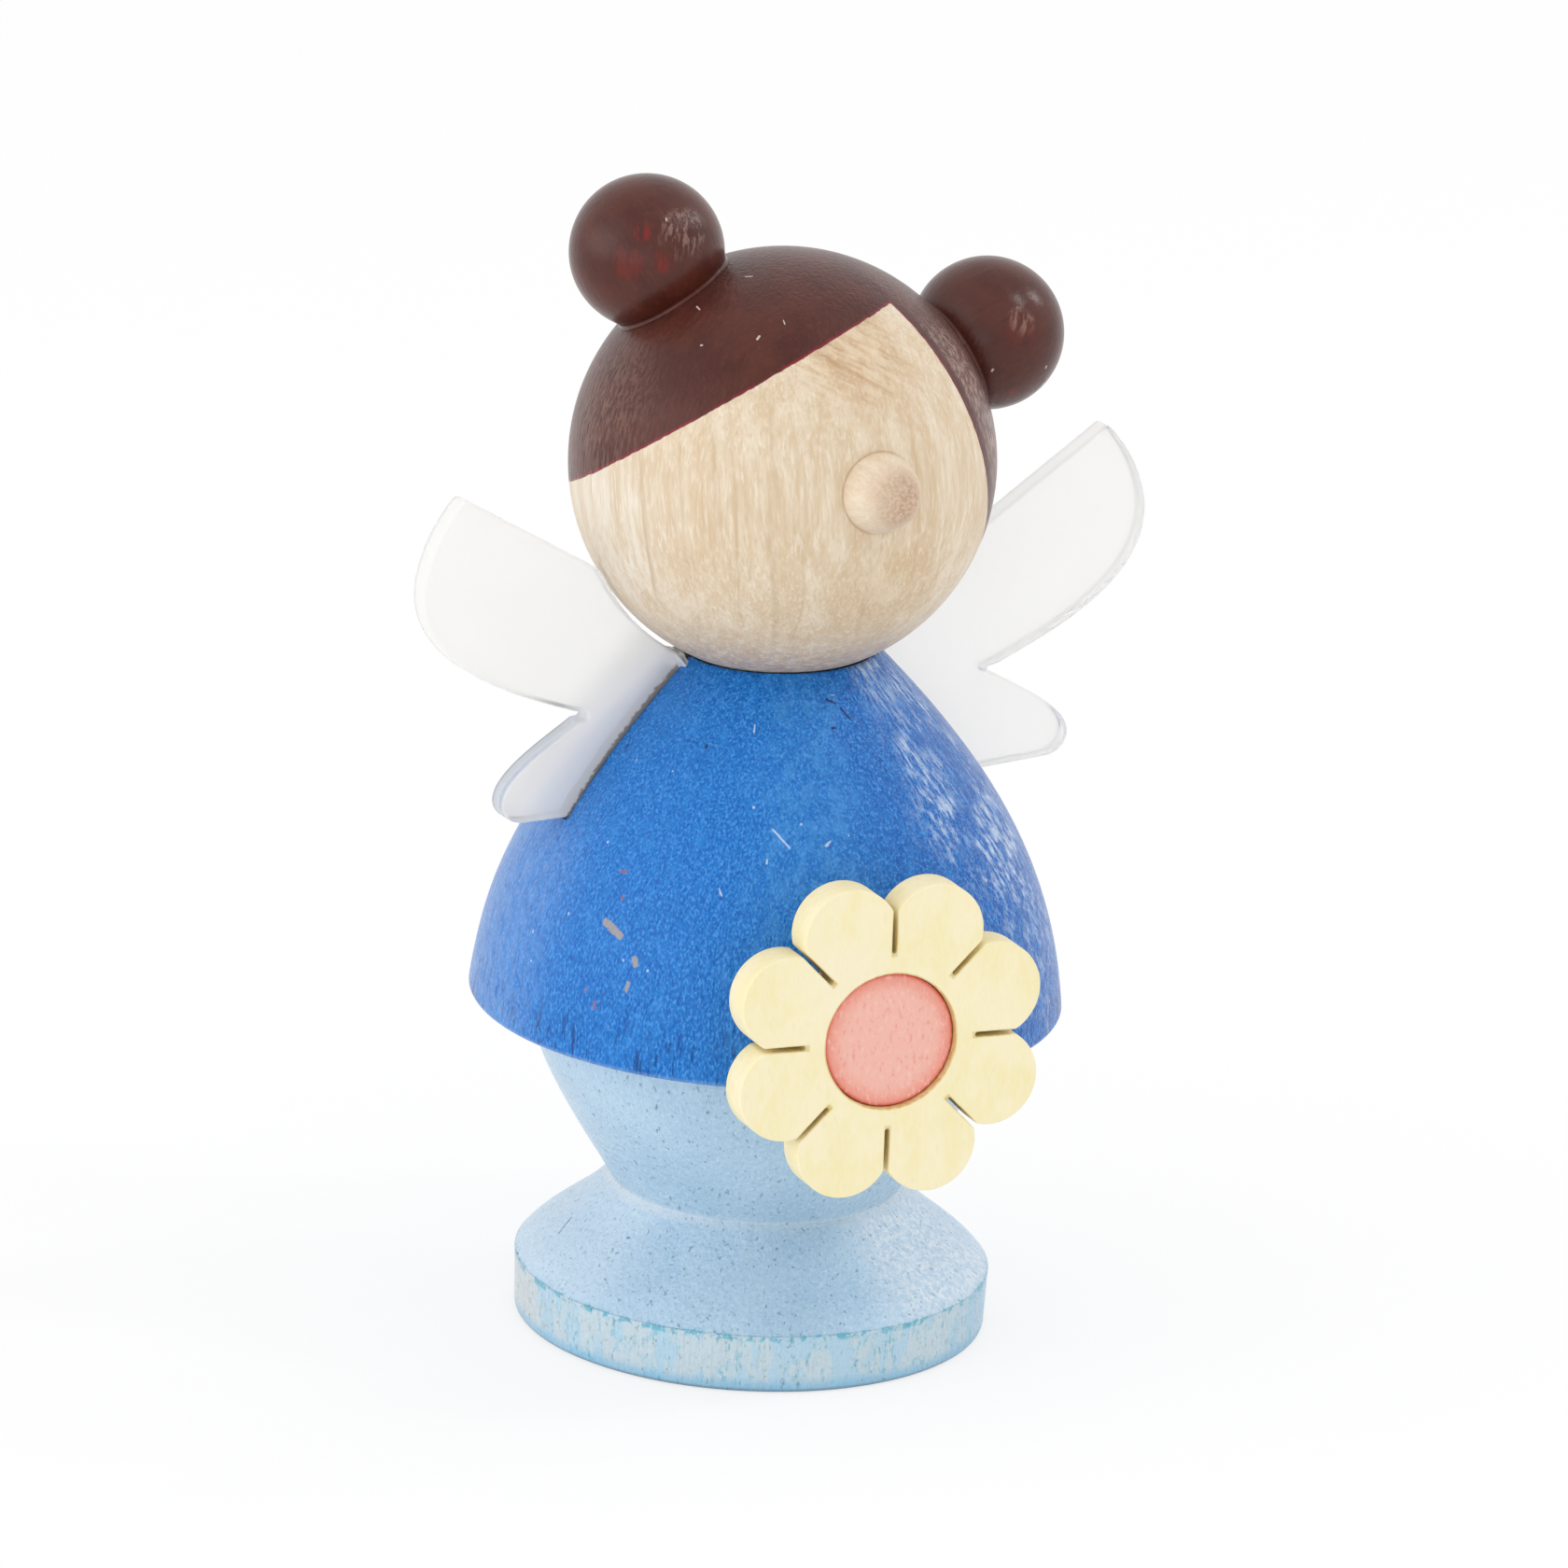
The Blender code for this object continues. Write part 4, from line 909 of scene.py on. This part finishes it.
def nose_look():
    look = Look("nose_maple", 0.45, Specular_IOR_Level=0.4)
    wood, flecks, *_ = wood_colours(look, (0, 0, 0))
    tip_level = (HEAD_RADIUS + NOSE_LENGTH) / MM
    pores = look.streaks(0.4, 5.0, 4, 0.7)
    x, _, z = look.axis(look.mm())
    level = look.swayed(z, pores, 1.2)
    tip = look.smooth(level, tip_level - 0.75, tip_level + 0.1)
    # End grain at the tip, partly painted shade: it shows fully towards +X and only about half towards -X.
    tip = look.times(tip, look.smooth(x, -1.3, 0.6, 0.45, 1.0))
    end_grain = look.mix(look.smooth(pores, 0.38, 0.58), (0.42, 0.26, 0.16), (0.64, 0.46, 0.33))
    wood = look.mix(0.35, wood, (0.79, 0.64, 0.49))
    look.colour(look.mix(tip, wood, end_grain))
    look.bump(look.add((flecks, 0.3), (look.times(pores, tip), 1.2)), 0.04)
    return look.material


def bun_look(name, rubs, patch_at, patch_size, specks):
    """Hair paint with red rubs, one paler patch of painted sheen with the grain showing, and dust specks."""
    look = Look(name, 0.25, Specular_IOR_Level=0.33)
    at = look.mm()
    brown, relief = hair_colours(look)
    grain = look.streaks(0.12, 3.6, 3, 0.6, turn=BUN_TURN)
    for point, size, amount in rubs:
        rub_and_sheen = look.times(look.near(at, point, size, size * 0.8), look.smooth(grain, 0.40, 0.58))
        brown = look.tint(brown, rub_and_sheen, amount, (0.22, 0.010, 0.008))
    # Painted highlight: the paler patch with the grain showing stands in for a streaky sheen.
    patch = look.near(at, patch_at, patch_size, patch_size * 0.6)
    brown = look.mix(look.times(patch, look.smooth(grain, 0.47, 0.60, 0.0, 0.7)), brown, (0.27, 0.16, 0.13))
    brown = look.tint(brown, look.strokes(at, specks, 0.04), 0.8, (0.62, 0.55, 0.50))
    look.colour(brown)
    height = look.add((relief, 0.5), (look.times(grain, patch), 1.6), (grain, 0.5))
    look.bump(height, 0.03)
    return look.material


def dress_gap(look, x, y, z):
    """How far a point lies outside the dress's turned surface, in millimetres."""
    across = look.length(x, y)
    hem = (HEM_RADIUS, HEM_Z)
    side = [hem] + curve_points(hem, DRESS_PULLS, (NECK_RADIUS, NECK_Z), 12)
    lift = look.math("DIVIDE", look.math("SUBTRACT", z, HEM_Z / MM), (NECK_Z - HEM_Z) / MM)
    shape = look.node("FloatCurve", {"Value": lift})
    points = shape.mapping.curves[0].points
    for index, (radius, height) in enumerate(side):
        at = ((height - HEM_Z) / (NECK_Z - HEM_Z), radius / HEM_RADIUS)
        if index in (0, len(side) - 1):
            points[0 if index == 0 else -1].location = at
        else:
            points.new(*at)
    shape.mapping.update()
    return look.math("SUBTRACT", across, look.times(shape.outputs[0], HEM_RADIUS / MM))


def wing_look():
    look = Look("milky_plastic", 0.35, Specular_IOR_Level=0.5, IOR=1.14)
    at = look.mm()
    x, y, z = look.axis(at)
    broad = look.noise(at, 0.25, 3)
    white = look.mix(look.smooth(broad, 0.35, 0.65), (0.98, 0.97, 0.955), (0.985, 0.98, 0.965))
    gap = dress_gap(look, x, y, z)
    beside = look.times(look.smooth(gap, 6.0, 1.5), look.smooth(x, 1.0, -1.0))
    clear = look.smooth(beside, 0.0, 1.0, 0.78, 0.35)
    # Painted reflection: a blue tint on the plate near the dress, as if the dress's colour were thrown onto
    # it.
    blue_bounce_tint = look.times(look.smooth(gap, 2.2, 0.2), look.smooth(x, 1.0, -1.0, 0.0, 0.1))
    white = look.mix(blue_bounce_tint, white, (0.72, 0.77, 0.86))
    facing = look.math("ABSOLUTE", look.axis(look.node("TexCoord").outputs["Normal"])["Y"])
    wall = look.smooth(facing, 0.97, 0.8)
    middle, half = WING_SETBACK / MM, WING_THICKNESS / MM / 2
    front, back = middle - half, middle + half
    # Painted shade: thin grey lines along the plate's back edges, and its front edges on the +X wing, stand
    # in for the dark lines that rounded clear edges show.
    far_line = look.times(wall, look.smooth(y, back - 0.4, back - 0.1))
    white = look.tint(white, far_line, 0.5, (0.62, 0.63, 0.62))
    near_line = look.times(wall, look.smooth(y, front + 0.3, front + 0.1))
    near_line = look.times(near_line, look.smooth(x, -1.0, 1.0))
    white = look.tint(white, near_line, 0.4, (0.72, 0.71, 0.64))
    # Painted reflection: the lobe's edge wall is painted bluish grey, darkest at its back edge.
    lobe = look.times(look.smooth(x, -11.0, -12.0), look.smooth(z, 34.5, 33.5))
    lobe = look.times(lobe, wall, look.smooth(y, front + 0.15, front + 0.6))
    clear = look.times(clear, look.smooth(lobe, 0.0, 1.0, 1.0, 0.2))
    look.put(look.shader.inputs["Transmission Weight"], clear)
    white = look.tint(white, lobe, 0.85, (0.54, 0.57, 0.60))
    outer = look.times(lobe, look.smooth(y, back - 0.35, back - 0.1))
    white = look.tint(white, outer, 0.7, (0.28, 0.30, 0.33))
    # A dark fuzzy line where the wing meets the dress: partly glue and paint residue, partly painted shade,
    # wider higher up.
    reach = look.smooth(z, 27.5, 35.0, 0.08, 0.40)
    fuzz = look.swayed(gap, look.noise(at, 3.5, 4, 0.65), 0.7)
    line = look.smooth(look.math("DIVIDE", fuzz, reach), 1.0, 0.35)
    line = look.times(line, look.smooth(x, 1.0, -1.0, 0.2, 0.7))
    white = look.mix(line, white, (0.16, 0.14, 0.13))
    dots = look.strokes(at, (
        ((13.9, 0.62, 45.3), (13.8, 0.62, 45.2), 0.14),
        ((11.4, 0.62, 43.0), (11.3, 0.62, 42.95), 0.12),
    ), 0.05)
    look.colour(look.tint(white, dots, 0.8, (0.45, 0.08, 0.06)))
    look.bump(look.noise(at, 0.7, 2), 0.02)
    return look.material


def glue_look():
    look = Look("clear_glue", 0.08, IOR=1.3, Transmission_Weight=0.35)
    at = look.mm()
    look.colour(look.mix(look.noise(at, 2.0, 2), (0.84, 0.91, 0.97), (0.96, 0.98, 1.0)))
    look.bump(look.noise(at, 2.4, 2), 0.05)
    return look.material


def petal_look():
    look = Look("petal_stain", 0.6, Specular_IOR_Level=0.25)
    at = look.mm()
    x, y, z = look.axis(at)
    broad = look.streaks(0.6, 0.5, 4, 0.55)
    yellow = look.mix(look.smooth(broad, 0.38, 0.60), (0.88, 0.785, 0.46), (0.90, 0.81, 0.54))
    fine = look.streaks(0.3, 3.8, 3)
    yellow = look.shade(yellow, fine, 0.55, 0.7, 0.4, (0.80, 0.68, 0.33))
    pale = look.times(look.near(at, (-2.0, -1.0, 3.0), 3.5, 1.5), 0.6)
    yellow = look.mix(pale, yellow, (0.895, 0.815, 0.61))
    radius = look.length(x, z)
    angle = look.math("ARCTAN2", z, x)
    pitch = 2 * math.pi / PETAL_COUNT
    from_slit = look.math("WRAP", angle, pitch / 2, -pitch / 2)
    across = look.math("ABSOLUTE", look.times(radius, look.math("SINE", from_slit)))
    burnt = look.times(look.smooth(across, 0.22, 0.12), look.smooth(radius, 4.3, 4.5))
    burnt = look.times(burnt, look.smooth(radius, 7.4, 5.6))
    yellow = look.tint(yellow, burnt, 0.75, (0.58, 0.41, 0.09))
    # A brown ring round the hole: burnt edge, partly painted shade of the gap round the disc.
    yellow = look.shade(yellow, look.off(radius, 3.5), 0.12, 0.03, 0.8, (0.60, 0.31, 0.05))
    walls = look.smooth(y, 0.92, 0.8)
    yellow = look.tint(yellow, look.times(walls, look.smooth(fine, 0.4, 0.6)), 0.3, (0.92, 0.87, 0.66))
    facing = look.axis(look.node("TexCoord").outputs["Normal"])
    lower = look.smooth(look.math("SUBTRACT", facing["X"], facing["Z"]), 0.1, 0.7, 0.12, 0.8)
    shaded = look.times(look.smooth(y, -0.80, -0.6), look.smooth(fine, 0.40, 0.62))
    yellow = look.mix(look.times(shaded, lower), yellow, (0.62, 0.50, 0.14))
    look.colour(yellow)
    look.bump(fine, 0.015)
    return look.material


def centre_look():
    look = Look("centre_stain", 0.62, Specular_IOR_Level=0.25)
    x, _, z = look.axis(look.mm())
    radius = look.length(x, z)
    pink = look.mix(look.smooth(radius, 2.3, 3.4), (0.845, 0.465, 0.385), (0.835, 0.33, 0.26))
    # A dark red ring at the disc's edge: burnt edge, partly painted shade of the gap.
    pink = look.shade(pink, radius, 3.2, 3.42, 0.85, (0.70, 0.13, 0.09))
    pores = look.streaks(0.5, 4.6, 3, 0.6)
    pink = look.shade(pink, pores, 0.56, 0.68, 0.6, (0.77, 0.27, 0.22))
    pink = look.shade(pink, pores, 0.46, 0.34, 0.5, (0.90, 0.56, 0.49))
    look.colour(pink)
    look.bump(pores, 0.02)
    return look.material


def dowel_look():
    look = Look("beech_dowel", 0.6)
    wood, flecks, *_ = wood_colours(look, (0, 0, 0))
    look.colour(wood)
    look.bump(flecks, 0.02)
    return look.material


def build():
    hair = {
        "hair_right": bun_look(
            "hair_right",
            (((3.5, -0.35, 1.8), 0.7, 0.8), ((3.95, -0.26, 0.0), 0.75, 0.8), ((3.4, -1.8, 0.8), 1.2, 0.35)),
            (3.55, 1.5, 0.5), 1.7,
            (((3.47, 1.0, 1.4), (3.4, 1.2, 1.7), 0.08), ((3.5, 1.7, 0.1), (3.6, 1.4, 0.3), 0.07)),
        ),
        "hair_left": bun_look(
            "hair_left",
            (((-2.92, -2.38, -1.19), 0.35, 0.8), ((-3.6, 0.6, 0.2), 1.3, 0.2)),
            (-3.78, 0.97, 0.59), 0.9,
            (((-3.19, -2.14, 0.92), (-3.2, -2.1, 0.95), 0.14),
             ((-3.45, -0.59, -1.83), (-3.4, -0.65, -1.9), 0.12)),
        ),
    }
    skirt = lathe("skirt", foot_profile(), BODY_STEPS, skirt_look(), wobble=BODY_WOBBLE, seed=3.0)
    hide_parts("foot_skirt")
    dress = lathe("gown", dress_profile(), BODY_STEPS, dress_look(), wobble=BODY_WOBBLE, seed=8.0)
    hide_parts("dress")
    profile = ball_profile(HEAD_RADIUS, BODY_STEPS // 2)
    head = lathe("head_ball", profile, BODY_STEPS, head_look(), HEAD_FRAME, wobble=BALL_WOBBLE, seed=1.0)
    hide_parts("head")
    nose_place = HEAD_FRAME @ Matrix.Rotation(math.radians(90), 4, "X")
    profile = nose_profile()
    nose = lathe("nose_peg", profile, SMALL_STEPS, nose_look(), nose_place, wobble=BALL_WOBBLE, seed=5.0)
    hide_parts("nose")
    for name, node, side, spread, back in BUNS:
        seat = bun_frame(side, spread, back)
        place = seat @ Matrix.Translation((0, 0, BUN_DISTANCE))
        profile = ball_profile(BUN_RADIUS, BUN_STEPS // 2)
        bun = lathe(name + "_bun", profile, BUN_STEPS, hair[name], place, wobble=BALL_WOBBLE, seed=side * 4.0)
        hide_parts(node)
        fillet = ring(name + "_fillet", bun_fillet(), SMALL_STEPS, hair[name], seat)
    seats = {name: wing_seat(*seat) for name, seat in WING_SEATS.items()}
    head_in_wing = seats["wing_right"].inverted() @ HEAD_CENTRE
    outline = wing_outline((head_in_wing.x, head_in_wing.z))
    plastic = wing_look()
    cut(dress, dish_tool())
    for name, seat in seats.items():
        wing = plate(name + "_plate", [outline], WING_THICKNESS, WING_EDGE, plastic)
        wing.data.transform(seat)
        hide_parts(name)
        cut(dress, kerf_tool(name, seat))
    bead = glue_bead()
    spot = flower_frame()
    outlines = [petal_outline(), hole_outline(FLOWER_HOLE_RADIUS)]
    place = spot @ Matrix.Translation((0, -FLOWER_THICKNESS / 2, 0))
    petals = plate("petals", outlines, FLOWER_THICKNESS, PETAL_EDGE, petal_look(), place)
    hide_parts("flower_petals")
    outlines = [hole_outline(FLOWER_HOLE_RADIUS - INLAY_GAP)]
    place = spot @ Matrix.Translation((0, -FLOWER_CENTRE_THICKNESS / 2, 0))
    disc = plate("flower_disc", outlines, FLOWER_CENTRE_THICKNESS, DISC_EDGE, centre_look(), place)
    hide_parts("flower_centre")
    pin = dowel_look()
    for node in ("body_dowel", "neck_dowel"):
        item = bpy.data.objects[node]
        item.data.materials.clear()
        item.data.materials.append(pin)


# Camera, floor and light

CAMERA_PLACE = Vector((-0.230804, -0.407944, 0.175242))
CAMERA_FORWARD = Vector((0.470738, 0.830291, -0.298366))
CAMERA_RIGHT = Vector((0.876421, -0.478949, 0.049929))
CAMERA_UP = Vector((0.101446, 0.284998, 0.953145))
CAMERA_SIDE = -29.5
LIGHT_AIM = Vector((0, 0, 0.03))
FLOOR_REACH = 3.0
FLOOR_DROP = 0.00002


def make_camera():
    data = bpy.data.cameras.new("camera")
    data.sensor_width = 36.0
    data.sensor_fit = "HORIZONTAL"
    data.lens = 220.0
    data.clip_start = 0.01
    camera = add_object("camera", data)
    basis = Matrix((CAMERA_RIGHT, CAMERA_UP, -CAMERA_FORWARD)).transposed().to_4x4()
    camera.matrix_world = Matrix.Translation(CAMERA_PLACE) @ basis
    bpy.context.scene.camera = camera


def white_backdrop(tree, lit, output, share):
    """Shows the camera, mirrors and glass a share of plain white; other light meets the surface as lit."""
    graph = Graph(tree)
    rays = graph.node("LightPath").outputs
    seen = graph.math("MAXIMUM", rays["Is Camera Ray"], rays["Is Glossy Ray"])
    seen = graph.math("MAXIMUM", seen, rays["Is Transmission Ray"])
    kind = "Emission" if output.bl_idname == "ShaderNodeOutputMaterial" else "Background"
    white = graph.node(kind, {"Color": (1, 1, 1, 1), "Strength": 1.0})
    links = {0: graph.times(seen, share), 1: lit.outputs[0], 2: white.outputs[0]}
    graph.put(output.inputs["Surface"], graph.node("MixShader", links).outputs[0])


def make_floor():
    reach = FLOOR_REACH
    corners = [(-reach, -reach, 0), (reach, -reach, 0), (reach, reach, 0), (-reach, reach, 0)]
    mesh = bpy.data.meshes.new("floor")
    mesh.from_pydata(corners, [], [(0, 1, 2, 3)])
    floor = add_object("floor", mesh)
    floor.location.z = -FLOOR_DROP
    material = bpy.data.materials.new("floor_white")
    material.use_nodes = True
    shader = material.node_tree.nodes["Principled BSDF"]
    shader.inputs["Base Color"].default_value = (0.95, 0.95, 0.95, 1)
    shader.inputs["Roughness"].default_value = 0.9
    shader.inputs["Specular IOR Level"].default_value = 0.0
    white_backdrop(material.node_tree, shader, material.node_tree.nodes["Material Output"], 0.72)
    mesh.materials.append(material)


def make_world():
    world = bpy.data.worlds.new("studio")
    world.use_nodes = True
    bpy.context.scene.world = world
    light = world.node_tree.nodes["Background"]
    light.inputs["Color"].default_value = (1.0, 1.0, 1.0, 1)
    light.inputs["Strength"].default_value = 0.9
    white_backdrop(world.node_tree, light, world.node_tree.nodes["World Output"], 1.0)


def softbox(name, turn, lift, distance, width, height, power):
    """A soft lamp placed by angles in degrees round the figure, measured from the camera's side of it."""
    around, up = math.radians(CAMERA_SIDE + turn), math.radians(lift)
    direction = Vector((math.sin(around) * math.cos(up), -math.cos(around) * math.cos(up), math.sin(up)))
    data = bpy.data.lights.new(name, "AREA")
    data.shape = "RECTANGLE"
    data.size = width
    data.size_y = height
    data.energy = power
    lamp = add_object(name, data)
    lamp.matrix_world = Matrix.Translation(LIGHT_AIM + direction * distance) @ turned_to(direction)


make_camera()
build()
make_floor()
make_world()
softbox("left low", -75, 12, 0.6, 0.5, 0.4, 0.59)
softbox("left window", -55, 28, 0.6, 0.5, 0.5, 0.37)
softbox("front low", -20, 5, 0.6, 0.6, 0.3, 0.31)
softbox("right lamp", 80, 52, 0.5, 0.05, 0.08, 0.2)
softbox("right back lamp", 112, 36, 0.5, 0.05, 0.10, 0.2)

bpy.context.scene.view_settings.view_transform = "Standard"
